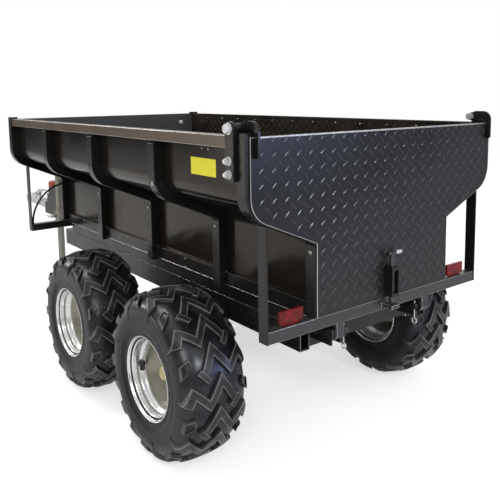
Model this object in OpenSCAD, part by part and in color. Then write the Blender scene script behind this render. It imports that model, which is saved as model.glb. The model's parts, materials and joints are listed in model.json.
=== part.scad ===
// Tipping dump cart: a ribbed steel tub on a tandem bogie chassis, with a top-hung tailgate.
// The frame: +X to the right, +Y forward to the coupling, +Z up, the ground at z = 0.
// Distances along Y are measured from the rear face of the tub, then moved to the origin.

/* [Wheels] */
// Outer diameter of the tyres over the lugs
tyre_d = 558; // [520:2:600]
// Width of the tyres
tyre_w = 238; // [210:2:250]
// Height of the tread lugs
lug_h = 14; // [8:1:18]
// Number of lug pitches round a tyre
lug_count = 9; // [7:1:12]
// Width of a tread lug
lug_w = 19; // [14:1:24]
// Diameter of the rim at the bead seat
rim_d = 253; // [240:1:260]
// Width of the rim over its flanges
rim_w = 218; // [200:2:230]
// Height of the rim flange above the bead seat
rim_lip = 13; // [9:1:14]
// Thickness of the rim steel
rim_t = 4; // [3:0.5:6]
// Depth of the middle of the wheel disc behind the outer flange
disc_depth = 95; // [85:1:110]
// Depth of the outer edge of the wheel disc behind the outer flange
dish_depth = 57; // [55:1:70]
// Distance between the middles of the left and right tyres
track = 1038; // [1020:2:1100]
// Distance between the two axles
axle_gap = 668; // [640:2:720]
// Rear axle, from the rear face of the tub
axle_y = 454; // [440:1:480]
// Diameter of the stub axles
stub_d = 36; // [30:1:40]
// Running clearance of turning parts, on the radius
run_gap = 0.05; // [0.02:0.01:0.1]

/* [Tub] */
// Length of the tub
tub_l = 2030; // [1800:10:2200]
// Gap between the ribs and the tyres beside them
wheel_gap = 93; // [80:1:105]
// Width of the flare over the wheels, on each side
flare_w = 245; // [225:1:265]
// Height of the upright upper side, from the corner of the flare to the top of the rails
upper_h = 215; // [195:1:230]
// Height of the flare over the wheels
flare_h = 106; // [90:1:120]
// Corner radius of the ribs where the flare starts
lower_r = 14; // [8:1:25]
// Corner radius of the ribs where the flare turns up
upper_r = 92; // [70:1:110]
// Height of the top of the rails
rail_z = 1076; // [1050:2:1100]
// Height of the rails
rail_h = 34; // [28:1:40]
// Width of the ribs and corner posts along the tub
rib_w = 42; // [36:1:50]
// Depth of the ribs
rib_d = 35; // [28:1:40]
// Ribs between the corner posts on each side
rib_count = 3; // [2:1:5]
// Thickness of the tub sheet
sheet_t = 3; // [2:0.5:5]
// Height by which the corner posts stand over the rails
post_over = 9; // [4:1:15]
// Height of the floor surface
floor_z = 531; // [525:1:540]
// Thickness of the floor plate
floor_t = 4; // [3:0.5:6]
// Width and height of the cross bars at the tub ends
bar_s = 36; // [30:1:40]
// Distance by which the cross bars end inside the outer face of the upper ribs
bar_in = 66; // [50:1:80]
// Width of the flat end posts
flat_w = 40; // [30:1:45]
// Thickness of the flat end posts
flat_t = 5; // [4:0.5:8]
// Rear face of the front cross bar, behind the front face of the tub
front_bar_in = 66; // [50:2:100]
// Height of the sills between the ribs
sill_h = 49; // [40:1:55]
// Depth of the sills
sill_d = 13; // [8:1:18]
// Width of a reflector
reflector_w = 88; // [70:1:100]
// Height of a reflector
reflector_h = 38; // [28:1:44]

/* [Tailgate] */
// Inset of the tailgate from the outer face of the corner posts at the top
gate_in = 12; // [8:1:20]
// Inset of the tailgate from the outer face of the corner posts between the wheels
gate_low_in = 3; // [1:1:10]
// Thickness of the tailgate plate
gate_t = 5; // [4:0.5:8]
// Gap between the tailgate and the tub
gate_gap = 0.5; // [0.3:0.1:2]
// Height of the tailgate pivots over the rails
pivot_rise = 20; // [18:1:26]
// Tailgate pivots, from the rear face of the tub
pivot_y = 57; // [56:1:70]
// Thickness of the tailgate arms
arm_t = 8; // [6:0.5:12]
// Diameter of the pivot bolts
pivot_d = 16; // [12:1:18]

/* [Chassis] */
// Height of the chassis beams
beam_h = 80; // [70:1:90]
// Width of the chassis beams
beam_w = 40; // [34:1:50]
// Wall of the chassis tubes
tube_t = 4; // [3:0.5:5]
// Height of the tub frame tubes
longeron_h = 60; // [50:1:66]
// Thickness of the rubber rests between chassis and tub
pad_t = 2; // [1:0.5:4]
// Rear end of the chassis beams, from the rear face of the tub
beam_y = 108; // [90:1:130]
// Length of the chassis beams in front of the tub
beam_over = 30; // [0:2:60]
// Width and height of the drawbar
drawbar_s = 80; // [70:1:90]
// Length of the drawbar in front of the tub
drawbar_l = 1032; // [930:2:1130]
// Height of the tipping axis
tip_z = 461; // [455:1:465]
// Tipping axis, from the rear face of the tub
tip_y = 20; // [19:1:22]
// Diameter of the tipping pins
tip_d = 22; // [18:1:25]
// Height of the bogie pivot
bogie_z = 345; // [338:1:348]
// Diameter of the bogie shaft
bogie_d = 45; // [38:1:48]

/* [Lift] */
// Outer diameter of the lift cylinder
lift_d = 110; // [100:1:116]
// Length of the lift cylinder
lift_l = 252; // [248:1:256]
// Lift head, from the rear face of the tub
lift_y = 1015; // [1000:1:1030]
// Height of the middle of the lift head
lift_z = 448; // [444:1:450]
// Height of the trunnions of the lift cylinder
trunnion_z = 295; // [290:1:300]
// Clearance between the lift head and its socket
socket_gap = 7; // [6:0.5:8]

/* [Front] */
// Diameter of the support leg
leg_d = 42; // [36:1:48]
// Support leg, behind the front end of the drawbar
leg_back = 381; // [340:1:420]
// Diameter of the foot plate
foot_d = 140; // [100:2:160]
// Diameter of the coupling ball
ball_d = 50; // [48:0.1:52]
// Length of the coupling in front of the drawbar
coupling_l = 438; // [420:2:460]
// Diameter of the hose at the front of the tub
hose_d = 10; // [8:0.5:14]

/* [Hidden] */
$fn = 64;

paint = [0.06, 0.06, 0.065];
zinc = [0.72, 0.73, 0.74];
rubber = [0.09, 0.09, 0.1];
galvanised = [0.66, 0.65, 0.6];
red = [0.7, 0.06, 0.05];
plastic = [0.13, 0.13, 0.15];

// Heights and places that follow from the sizes above
tyre_r = tyre_d / 2;
half_w = tyre_w / 2;
wheel_z = tyre_r;
wheel_x = track / 2;
lower_x = wheel_x - half_w - wheel_gap;
upper_x = lower_x + flare_w;
flare_hi_z = rail_z - upper_h;
flare_lo_z = flare_hi_z - flare_h;
gate_x = upper_x - gate_in;
gate_low_x = lower_x - gate_low_in;
pivot_z = rail_z + pivot_rise;
bar_x = upper_x - bar_in;
front_bar_y = tub_l - front_bar_in;
beam_front = tub_l + beam_over;
drawbar_y = tub_l + drawbar_l;
nose_y = drawbar_y + coupling_l;
leg_y = drawbar_y - leg_back;
front_axle_y = axle_y + axle_gap;
bogie_y = axle_y + axle_gap / 2;
longeron_top = floor_z - floor_t;
longeron_z = longeron_top - longeron_h;
beam_top = longeron_z - pad_t;
beam_z = beam_top - beam_h;
beam_x = lower_x - rib_d;
bar_z = floor_z - bar_s;
wall_d = rib_d + sheet_t;
rib_pitch = (tub_l - rib_w) / (rib_count + 1);
rib_drop = 24;
rib_bottom = floor_z - rib_drop;
bar_rear = 2;
arm_reach = 17.5;
arm_rise = 20;
bolt_out = 18;
guide_w = 34;
gate_rear = -gate_gap - gate_t;
arm_rear = gate_rear - arm_reach;
arm_top = pivot_z + arm_rise;
bolt_y = gate_rear - bolt_out;
guide_rear = bolt_y - guide_w / 2;
mid_y = (nose_y + guide_rear) / 2;
flare = atan(flare_h / flare_w);
turn = 90 - flare;
corner_shift = tan(turn / 2);
eps = 0.01;

// Points of an arc about c from angle a0 to a1
function arc(c, r, a0, a1, n) = [for (i = [0:n]) let (a = a0 + (a1 - a0) * i / n) c + r * [cos(a), sin(a)]];
function reversed(v) = [for (i = [len(v) - 1:-1:0]) v[i]];

// Side of the tub in the XZ plane, d inside the outer face of the ribs, from height z0 to z1
function side_line(d, z0, z1) =
  let (lo = [lower_x - d, flare_lo_z + d * corner_shift])
  let (hi = [upper_x - d, flare_hi_z + d * corner_shift])
  let (rl = lower_r + d, ru = upper_r - d)
  concat(
    [[lo.x, z0]],
    arc([lo.x + rl, lo.y - rl * corner_shift], rl, 180, 180 - turn, 8),
    arc([hi.x - ru, hi.y + ru * corner_shift], ru, -turn, 0, 12),
    [[hi.x, z1]]
  );

// Moves the cart so that its origin lies under the middle of its box
module cart() translate([0, -mid_y, 0]) children();
// The same piece on both sides
module both() {
  children();
  mirror([1, 0, 0]) children();
}
// An XZ outline as a slab from y0 to y1
module slab(y0, y1) translate([0, y1, 0]) rotate([90, 0, 0]) linear_extrude(y1 - y0) children();
// A YZ outline as a plate from x0 to x1
module plate(x0, x1) translate([x0, 0, 0]) rotate([90, 0, 90]) linear_extrude(x1 - x0) children();
// A round bar along X, Y or Z
module bar_x(x0, x1, d) translate([x0, 0, 0]) rotate([0, 90, 0]) cylinder(d = d, h = x1 - x0);
module bar_y(y0, y1, d) translate([0, y0, 0]) rotate([-90, 0, 0]) cylinder(d = d, h = y1 - y0);
// A box between two corners
module box(a, b) translate(a) cube(b - a);
// A hollow rectangular tube between two corners, open along the named axis
module tube(a, b, t, along) {
  inset = [along == 0 ? -eps : t, along == 1 ? -eps : t, along == 2 ? -eps : t];
  difference() {
    box(a, b);
    box(a + inset, b - inset);
  }
}
// The tub side between two depths, as an XZ outline
module side_band(d0, d1, z0, z1, z2) polygon(concat(side_line(d0, z0, z1), reversed(side_line(d1, z0, z2))));

// Chassis

hanger_t = 20;
hanger_w = 110;
hanger_inset = 6;
hanger_eye = 34;
hanger_x = beam_x - hanger_t - hanger_inset;
module chassis_beam() {
  difference() {
    union() {
      tube([beam_x - beam_w, beam_y, beam_z], [beam_x, beam_front, beam_top], tube_t, 1);
      plate(hanger_x, hanger_x + hanger_t) hanger_outline();
    }
    translate([0, bogie_y, bogie_z]) bar_x(hanger_x - 1, beam_x + 1, bogie_d + 2 * run_gap);
  }
}
module hanger_outline() {
  translate([bogie_y - hanger_w / 2, bogie_z]) square([hanger_w, beam_z - bogie_z]);
  translate([bogie_y, bogie_z]) circle(d = bogie_d + hanger_eye);
}
module chassis_beam_right() color(paint) cart() chassis_beam();
module chassis_beam_left() color(paint) cart() mirror([1, 0, 0]) chassis_beam();

inner_x = beam_x - beam_w;
rear_tube_s = 60;
cross_s = 40;
cross_z = beam_z + cross_s / 2;
rear_tube_z = beam_z + 10;
lift_bay = [-165, 75];
lift_cross_y = [lift_y + lift_bay[0], lift_y + lift_bay[1]];
cheek_gap = 9;
cheek_x = lift_d / 2 + cheek_gap;
cheek_t = 12;
trunnion_d = 30;
module cross_tubes() color(paint) cart() {
  tube([-inner_x, beam_y, rear_tube_z], [inner_x, beam_y + rear_tube_s, rear_tube_z + rear_tube_s], tube_t, 0);
  for (y = lift_cross_y)
    tube([-inner_x, y, cross_z], [inner_x, y + cross_s, cross_z + cross_s], tube_t, 0);
  both() difference() {
    plate(cheek_x, cheek_x + cheek_t) cheek_outline();
    translate([0, trunnion_y, trunnion_z]) bar_x(cheek_x - 1, cheek_x + cheek_t + 1, trunnion_d + 2 * run_gap);
  }
}
// Cheek plate that hangs the lift cylinder between its two cross tubes
module cheek_outline() {
  polygon([
    [lift_cross_y[0] + cross_s, cross_z], [lift_cross_y[0] + cross_s, cross_z + cross_s],
    [lift_cross_y[1], cross_z + cross_s], [lift_cross_y[1], cross_z],
    [trunnion_y + trunnion_d, trunnion_z], [trunnion_y - trunnion_d, trunnion_z]
  ]);
  translate([trunnion_y, trunnion_z]) circle(r = trunnion_d);
}

strut_back = 150;
strut_y = beam_front - strut_back;
strut_z = beam_z + 10;
module front_struts() color(paint) cart() both()
  tube([drawbar_s / 2, strut_y, strut_z], [inner_x, strut_y + cross_s, strut_z + cross_s], tube_t, 0);

drawbar_z = beam_top - drawbar_s;
drawbar_t = 5;
module drawbar() color(paint) cart()
  tube([-drawbar_s / 2, lift_cross_y[1] + cross_s, drawbar_z],
    [drawbar_s / 2, drawbar_y, beam_top], drawbar_t, 1);

// Tipping hinge under the rear bar
knuckle_in = 45;
knuckle_x = inner_x - knuckle_in;
knuckle_w = 30;
lug_t = 8;
lug_gap = 0.5;
lug_r = 20;
arm_x0 = knuckle_x - lug_gap - lug_t;
arm_x1 = knuckle_x + knuckle_w + lug_gap + lug_t;
lug_back = 28;
lug_drop = 40;
hinge_arm_y = tip_y + lug_back;
hinge_arm_z = tip_z - lug_drop;
module hinge_arms() color(paint) cart() both() difference() {
  union() {
    tube([arm_x0, hinge_arm_y, hinge_arm_z], [arm_x1, beam_y, beam_top], tube_t, 1);
    for (x = [arm_x0, arm_x1 - lug_t]) plate(x, x + lug_t) lug_outline();
  }
  translate([0, tip_y, tip_z]) bar_x(arm_x0 - 1, arm_x1 + 1, tip_d + 2 * run_gap);
}
module lug_outline() {
  translate([tip_y, tip_z]) circle(r = lug_r);
  translate([tip_y, hinge_arm_z]) square([hinge_arm_y - tip_y + eps, beam_top - hinge_arm_z]);
}

pin_head_t = 9;
pin_head_d = tip_d + 12;
pin_tail = 16;
clip_d = 4;
clip_x = arm_x0 - pin_tail / 2;
module tip_pins() color(zinc) cart() both() difference() {
  translate([0, tip_y, tip_z]) {
    bar_x(arm_x0 - pin_tail, arm_x1 + eps, tip_d);
    bar_x(arm_x1, arm_x1 + pin_head_t, pin_head_d);
  }
  translate([clip_x, tip_y, tip_z - tip_d]) cylinder(d = clip_d + 2 * run_gap, h = 2 * tip_d);
}
ring_r = 9;
ring_d = 5;
clip_drop = 42;
clip_over = 8;
module pin_clips() color(zinc) cart() both() translate([clip_x, tip_y, tip_z]) {
  translate([0, 0, -clip_drop]) cylinder(d = clip_d, h = clip_drop + tip_d / 2 + clip_over);
  translate([0, 0, -clip_drop - ring_r]) rotate([0, 90, 0]) rotate_extrude()
    translate([ring_r, 0]) circle(d = ring_d);
}

pad_l = 80;
pad_inset = 4;
pad_end = 260;
pad_y = [pad_end, tub_l - pad_end];
module rest_pads() color(rubber) cart() both() for (y = pad_y)
  box([inner_x + pad_inset, y, beam_top], [beam_x - pad_inset, y + pad_l, beam_top + pad_t]);

// Bogies

bogie_gap = 46;
bogie_x = beam_x + bogie_gap;
bogie_w = 50;
bogie_h = 80;
bogie_t = 5;
bogie_end = 62;
bogie_boss = 26;
gusset_l = 150;
gusset_top = 32;
gusset_over = 6;
collar_t = 8;
collar_d = bogie_d + 20;
stub_boss = 24;
side_gap = 0.5;
module bogie_shaft() color(paint) cart() translate([0, bogie_y, bogie_z])
  bar_x(-bogie_x - bogie_w - side_gap - collar_t, bogie_x + bogie_w + side_gap + collar_t, bogie_d);
module bogie_collars() color(paint) cart() both() translate([0, bogie_y, bogie_z]) {
  collar(bogie_x + bogie_w + side_gap, collar_t);
  collar(hanger_x + hanger_t, bogie_x - side_gap - hanger_x - hanger_t);
}
// A ring on the bogie shaft
module collar(x, t) difference() {
  bar_x(x, x + t, collar_d);
  bar_x(x - 1, x + t + 1, bogie_d + 2 * run_gap);
}
module bogie() {
  difference() {
    union() {
      tube([bogie_x, axle_y - bogie_end, wheel_z - bogie_h / 2],
        [bogie_x + bogie_w, front_axle_y + bogie_end, wheel_z + bogie_h / 2], bogie_t, 1);
      translate([0, bogie_y, bogie_z]) bar_x(bogie_x, bogie_x + bogie_w, bogie_d + bogie_boss);
      plate(bogie_x, bogie_x + bogie_w) polygon([
        [bogie_y - gusset_l, wheel_z + bogie_h / 2 - tube_t],
        [bogie_y + gusset_l, wheel_z + bogie_h / 2 - tube_t],
        [bogie_y + gusset_top, bogie_z + gusset_over], [bogie_y - gusset_top, bogie_z + gusset_over]
      ]);
      for (y = [axle_y, front_axle_y]) translate([0, y, wheel_z]) {
        bar_x(bogie_x, hub_in - side_gap, stub_d + stub_boss);
        bar_x(bogie_x, stub_end, stub_d);
      }
    }
    translate([0, bogie_y, bogie_z]) bar_x(bogie_x - 1, bogie_x + bogie_w + 1, bogie_d + 2 * run_gap);
  }
}
module bogie_right() color(paint) cart() bogie();
module bogie_left() color(paint) cart() mirror([1, 0, 0]) bogie();

// Wheels, turned about X with their middle at the origin and the outer side at +X

disc_x = rim_w / 2 - disc_depth;
disc_t = 8;
hub_flange_t = 12;
hub_flange_r = 76;
hub_r = 38;
hub_l = 85;
hub_step = 6;
cap_r = 25;
cap_l = 39;
cap_round = 8;
weld_gap = 0.3;
hub_face = disc_x - disc_t;
hub_back = hub_face - hub_l;
stub_reach = disc_x + 8;
hub_in = wheel_x + hub_back;
stub_end = wheel_x + stub_reach;
seat_r = rim_d / 2;
lip_r = seat_r + rim_lip;
well_drop = 15;
well_r = seat_r - well_drop;
well_in = 54;
well_out = rim_w - 76;
well_ramp = [14, 18];
bend = 2;
crown_share = 0.27;
crown_h = crown_share * tyre_r;
crown_power = 0.7;
lip_t = 5;
lip_clear = 2;
bead_r = lip_r + lip_clear;
seat_in = 12;
side_w = rim_w / 2 - seat_in;

module turned() rotate([0, 90, 0]) rotate_extrude($fn = 96) children();

// Half of the tyre outline as [radius, offset]: crown radius r, half width w, half width b at the bead
function tyre_line(r, w, b) = concat(
  [[seat_r, b]],
  [for (s = [0:0.25:1]) [bead_r + (tyre_r - crown_h - bead_r) * s, w - (w - b) * pow(1 - s, 2)]],
  [for (a = [12:12:84])
    [tyre_r - crown_h + (r - tyre_r + crown_h) * pow(sin(a), crown_power), w * pow(cos(a), crown_power)]],
  [[r, 0]]
);
function both_sides(v) = concat(v, [for (i = [len(v) - 2:-1:0]) [v[i].x, -v[i].y]]);
// A ring between two tyre outlines
module tyre_ring(outer, inner) turned() polygon(concat(both_sides(outer), reversed(both_sides(inner))));
tyre_wall = 12;
shoulder_h = 4;
carcass_r = tyre_r - lug_h;
carcass_w = half_w - shoulder_h;
module tyre_body() tyre_ring(
  tyre_line(carcass_r, carcass_w, side_w),
  tyre_line(carcass_r - tyre_wall, carcass_w - tyre_wall, side_w - tyre_wall)
);
module lug_layer() tyre_ring(
  tyre_line(tyre_r, half_w, side_w + 1),
  tyre_line(carcass_r - 1, carcass_w - 1, side_w - 1)
);
// A line of the given width along points p, mitred at its corners
function side_normal(a, b) = let (u = (b - a) / norm(b - a)) [-u.y, u.x];
function mitre(p, i) =
  i == 0 ? side_normal(p[0], p[1]) :
  i == len(p) - 1 ? side_normal(p[i - 1], p[i]) :
  let (n0 = side_normal(p[i - 1], p[i]), n1 = side_normal(p[i], p[i + 1])) (n0 + n1) / ((n0 + n1) * n0);
function stroke(p, w) = concat(
  [for (i = [0:len(p) - 1]) p[i] + mitre(p, i) * w / 2],
  [for (i = [len(p) - 1:-1:0]) p[i] - mitre(p, i) * w / 2]
);
// Middle line of a zigzag lug and outline of a shoulder block, as [offset, degrees round the tyre]
lug_line = [[113, -11], [95, 0], [43, -13], [-5, 3], [-55, -10]];
block_line = [[114, 5.5], [98, 5.5], [83, 0], [94, -7.5], [114, -4.5]];
block_turn = 24.5;
lug_pitch = 360 / lug_count;
lug_start = 8;
lug_foot = tyre_r - crown_h + lug_start;
function unrolled(p) = [for (v = p) [v.x, v.y * tyre_r * PI / 180]];
// A tread outline raised along Z through the tread
module tread_block() translate([0, 0, lug_foot]) linear_extrude(tyre_r) children();
module tyre() {
  tyre_body();
  intersection() {
    lug_layer();
    for (i = [0:lug_count - 1], side = [0, 1])
      rotate([(i + side / 2) * lug_pitch, 0, 0]) mirror([side, 0, 0]) {
        tread_block() polygon(stroke(unrolled(lug_line), lug_w));
        rotate([block_turn, 0, 0]) tread_block() polygon(unrolled(block_line));
      }
  }
}

// Rim section from the outer flange inward, as [radius, depth behind the flange]
module rim() turned() translate([0, rim_w / 2]) mirror([0, 1]) rim_section();
module rim_section() {
  polygon(concat(rim_outer(), reversed(rim_inner())));
  polygon(concat(disc_line(0), reversed(disc_line(disc_t))));
}
// Dished disc from the hub out to the well, moved back by t
dish_r = 70;
function disc_line(t) = [
  [hub_r + weld_gap, disc_depth + t], [dish_r, disc_depth + t], [well_r - rim_t / 2, dish_depth + t]
];
function rim_outer() = [
  [lip_r, 0], [lip_r, lip_t], [seat_r, seat_in], [seat_r, well_in - well_ramp[0]], [well_r, well_in],
  [well_r, well_out], [seat_r, well_out + well_ramp[1]], [seat_r, rim_w - seat_in],
  [lip_r, rim_w - lip_t], [lip_r, rim_w]
];
// The inner line is moved along at each corner, so that the steel keeps its thickness round the bends
rim_shift = [0, -bend, -bend, -bend, -bend, bend, bend, bend, bend, 0];
function rim_inner() = [for (i = [0:len(rim_shift) - 1]) rim_outer()[i] + [-rim_t, rim_shift[i]]];

// Bearing hub welded into the disc, closed by a dust cap
module hub() difference() {
  turned() polygon([
    [0, hub_back], [hub_r - hub_step, hub_back], [hub_r - hub_step, hub_face - hub_flange_t],
    [hub_flange_r, hub_face - hub_flange_t], [hub_flange_r, hub_face], [hub_r, hub_face],
    [hub_r, disc_x + hub_step], [cap_r, disc_x + hub_step], [cap_r, disc_x + cap_l - cap_round],
    [cap_r - cap_round, disc_x + cap_l], [0, disc_x + cap_l]
  ]);
  bar_x(hub_back - 1, stub_reach + hub_step, stub_d + 2 * run_gap);
}

// Puts a wheel piece on its axle
module at_wheel(y, side) cart() translate([side * wheel_x, y, wheel_z])
  mirror([side < 0 ? 1 : 0, 0, 0]) children();
module tyre_at(y, side) color(rubber) at_wheel(y, side) tyre();
module rim_at(y, side) color(zinc) at_wheel(y, side) rim();
module hub_at(y, side) color(galvanised) at_wheel(y, side) hub();

// Lift cylinder: its foot and its head lie at the same distance from the tipping axis
head_arm = norm([lift_y - tip_y, lift_z - tip_z]);
trunnion_y = tip_y + sqrt(pow(head_arm, 2) - pow(trunnion_z - tip_z, 2));
lift_lean = atan2(lift_y - trunnion_y, lift_z - trunnion_z);
lift_reach = norm([lift_y - trunnion_y, lift_z - trunnion_z]);
head_d = 50;
neck_d = 30;
stage_wall = 7;
stage_gap = 0.5;
lift_bottom = -140;
cap_t = 5;
trunnion_over = 4;
function stage_d(i) = lift_d - 2 * i * (stage_wall + stage_gap);
// The cylinder's own frame: its trunnions at the origin, its axis along Z
module lift_frame() cart() translate([0, trunnion_y, trunnion_z]) rotate([-lift_lean, 0, 0]) children();
// One telescopic tube with a closed foot
module stage(i) {
  foot = lift_bottom + cap_t * i;
  top = lift_bottom + lift_l + cap_t * i;
  difference() {
    translate([0, 0, foot]) cylinder(d = stage_d(i), h = top - foot);
    translate([0, 0, foot + cap_t]) cylinder(d = stage_d(i) - 2 * stage_wall, h = top - foot);
  }
}
module lift_barrel() color(paint) lift_frame() {
  stage(0);
  both() bar_x(lift_d / 2 - stage_wall + 1, cheek_x + cheek_t + trunnion_over, trunnion_d);
}
module lift_stage_1() color(zinc) lift_frame() stage(1);
module lift_stage_2() color(zinc) lift_frame() stage(2);
module lift_stage_3() color(zinc) lift_frame() {
  foot = lift_bottom + 3 * cap_t;
  translate([0, 0, foot]) cylinder(d = stage_d(3), h = lift_l);
  translate([0, 0, lift_bottom + lift_l]) cylinder(d = neck_d, h = lift_reach - lift_bottom - lift_l);
  translate([0, 0, lift_reach]) sphere(d = head_d);
}

// Tub

module floor_plate() color(paint) cart()
  box([-beam_x, bar_rear + bar_s, longeron_top], [beam_x, front_bar_y, floor_z]);

wall_front = front_bar_y + bar_s;
module wall() slab(0, wall_front - sheet_t) side_band(rib_d, wall_d, floor_z, rail_z, rail_z);
module wall_right() color(paint) cart() wall();
module wall_left() color(paint) cart() mirror([1, 0, 0]) wall();

module front_wall() color(paint) cart() slab(wall_front - sheet_t, wall_front) polygon(concat(
  side_line(rib_d, floor_z, rail_z),
  [for (p = reversed(side_line(rib_d, floor_z, rail_z))) [-p.x, p.y]]
));

// A hat-shaped rib, open to the wall, from y on
module rib(y, z0, z1, lip) difference() {
  slab(y, y + rib_w) side_band(0, rib_d, z0, z1 - lip, z1);
  slab(y + sheet_t, y + rib_w - sheet_t)
    side_band(sheet_t, rib_d + eps, z0 + sheet_t, z1 - lip - sheet_t, z1 - lip - sheet_t);
}
rib_gap = 1;
rib_top = rail_z - rail_h - rib_gap;
rib_slope = 8;
module ribs() for (i = [1:rib_count]) rib(i * rib_pitch, rib_bottom, rib_top, rib_slope);
module ribs_right() color(paint) cart() ribs();
module ribs_left() color(paint) cart() mirror([1, 0, 0]) ribs();
module corner_posts() color(paint) cart() both() {
  rib(0, floor_z, rail_z + post_over, 0);
  rib(tub_l - rib_w, floor_z, rail_z + post_over, 0);
}

rail_inset = 4;
rail_end = 2;
rail_out = upper_x - rail_inset;
module rails() color(paint) cart() {
  both() tube([upper_x - rib_d, rib_w, rail_z - rail_h], [rail_out, tub_l - rib_w, rail_z], sheet_t, 1);
  tube([-upper_x + rib_d, wall_front, rail_z - rail_h],
    [upper_x - rib_d, tub_l - rail_end, rail_z], sheet_t, 0);
}

sill_rise = 9;
sill_z = rib_bottom + sill_rise;
function sill_end(i) = min((i + 1) * rib_pitch, front_bar_y);
module sills() color(paint) cart() both() for (i = [0:rib_count])
  box([beam_x, i * rib_pitch + rib_w, sill_z], [beam_x + sill_d, sill_end(i), sill_z + sill_h]);

module longerons() color(paint) cart() both()
  tube([inner_x, bar_rear + bar_s, longeron_z], [beam_x, front_bar_y, longeron_top], sheet_t, 1);

// Socket for the lift head, hung from the middle cross member
socket_r = head_d / 2 + socket_gap;
socket_w = 100;
socket_lip = 3;
socket_h = 30;
member_z = longeron_top - cross_s;
module cross_members() color(paint) cart() {
  for (y = [rib_pitch, lift_y - cross_s / 2, rib_count * rib_pitch])
    tube([-inner_x, y, member_z], [inner_x, y + cross_s, longeron_top], sheet_t, 0);
  difference() {
    translate([0, lift_y, lift_z - socket_lip]) cylinder(d = socket_w, h = member_z - lift_z + socket_lip);
    translate([0, lift_y, lift_z]) sphere(r = socket_r);
    translate([0, lift_y, lift_z - socket_h]) cylinder(r = socket_r, h = socket_h);
  }
}

// Rear bar with the tipping knuckles and the keeper of the tailgate bolt
module rear_bar() color(paint) cart() difference() {
  union() {
    tube([-bar_x + flat_t, bar_rear, bar_z], [bar_x - flat_t, bar_rear + bar_s, floor_z], sheet_t, 0);
    both() plate(knuckle_x, knuckle_x + knuckle_w) {
      translate([tip_y, tip_z]) circle(r = lug_r);
      translate([tip_y - bar_s / 2, tip_z]) square([bar_s, bar_z - tip_z]);
    }
    box([-keeper_w / 2, bolt_y - keeper_w / 2, keeper_z], [keeper_w / 2, bar_rear, keeper_z + keeper_t]);
  }
  translate([0, tip_y, tip_z]) both() bar_x(knuckle_x - 1, knuckle_x + knuckle_w + 1, tip_d + 2 * run_gap);
  translate([0, bolt_y, keeper_z - 1]) cylinder(d = bolt_d + keeper_play, h = keeper_t + 2);
}
module front_bar() color(paint) cart()
  tube([-bar_x + flat_t, front_bar_y, bar_z], [bar_x - flat_t, front_bar_y + bar_s, floor_z], sheet_t, 0);

// Height of the underside of the ribs at a distance x from the middle
function flare_z(x) = flare_lo_z + (x - lower_x) * tan(flare);
module bar_posts() color(paint) cart() both() for (y = [0, front_bar_y - bar_rear])
  box([bar_x - flat_t, y, bar_z], [bar_x, y + flat_w, flare_z(bar_x - flat_t) - weld_gap]);

reflector_gap = 35;
reflector_x = lower_x + reflector_gap;
reflector_t = 9;
reflector_y = 14;
stand_h = 5;
stand_in = 14;
stand_back = 2;
reflector_z = floor_z + stand_h;
module reflectors() color(red) cart() both() translate([reflector_x, reflector_y, 0]) {
  box([0, 0, reflector_z], [reflector_w, reflector_t, reflector_z + reflector_h]);
  box([stand_in, stand_back, floor_z], [reflector_w - stand_in, reflector_t, reflector_z + eps]);
}

// Tailgate hinge

bracket_w = 38;
bracket_t = 11;
bracket_in = upper_x + weld_gap;
bracket_face = bracket_in + bracket_t;
bracket_drop = 121;
bracket_z = rail_z - bracket_drop;
bracket_r = bracket_w / 2;
bracket_top = rail_z - rail_h - rib_gap;
bracket_bolt_up = [19, 55];
spacer_in = 6;
bracket_bolt_z = [for (h = bracket_bolt_up) bracket_z + h];
bracket_bolt_d = 12;
module hinge_brackets() color(paint) cart() both() difference() {
  union() {
    plate(bracket_in, bracket_face) {
      translate([pivot_y, pivot_z]) circle(r = bracket_r);
      translate([pivot_y - bracket_r, bracket_z]) square([bracket_w, pivot_z - bracket_z]);
    }
    box([upper_x - rib_d, pivot_y - bracket_r + spacer_in, bracket_z],
      [bracket_in + eps, pivot_y + bracket_r, bracket_top]);
  }
  translate([0, pivot_y, pivot_z]) bar_x(rail_out, bracket_face + 1, pivot_d + 2 * run_gap);
  for (z = bracket_bolt_z) translate([0, pivot_y, z])
    bar_x(upper_x - rib_d - 1, bracket_face + 1, bracket_bolt_d + 2 * run_gap);
}
washer_t = 2.5;
washer_d = 24;
nut_t = 10;
bolt_tail = 18;
// Width of a hexagon head over its corners, for a bolt of diameter d
function hex_d(d) = 1.65 * d;
module bracket_bolts() color(zinc) cart() both() for (z = bracket_bolt_z) translate([0, pivot_y, z]) {
  bar_x(upper_x - rib_d, bracket_face + bolt_tail, bracket_bolt_d);
  bar_x(bracket_face, bracket_face + washer_t, washer_d);
  bar_x(bracket_face + washer_t, bracket_face + washer_t + nut_t, hex_d(bracket_bolt_d), $fn = 6);
}

// A hose that leaves the front bar upward and bends in to the foot of the corner post
hose_inset = 14;
hose_y = front_bar_y + bar_s / 2;
hose_r = bar_x - hose_inset - beam_x;
module front_hose() color(rubber) cart() mirror([1, 0, 0]) translate([beam_x, hose_y, floor_z])
  rotate([90, 0, 0]) rotate_extrude(angle = 90) translate([hose_r, 0]) circle(d = hose_d);

// Tailgate

gate_lift = 2;
gate_bottom = floor_z + gate_lift;
gate_upper_r = upper_r - (upper_x - gate_x);
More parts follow.
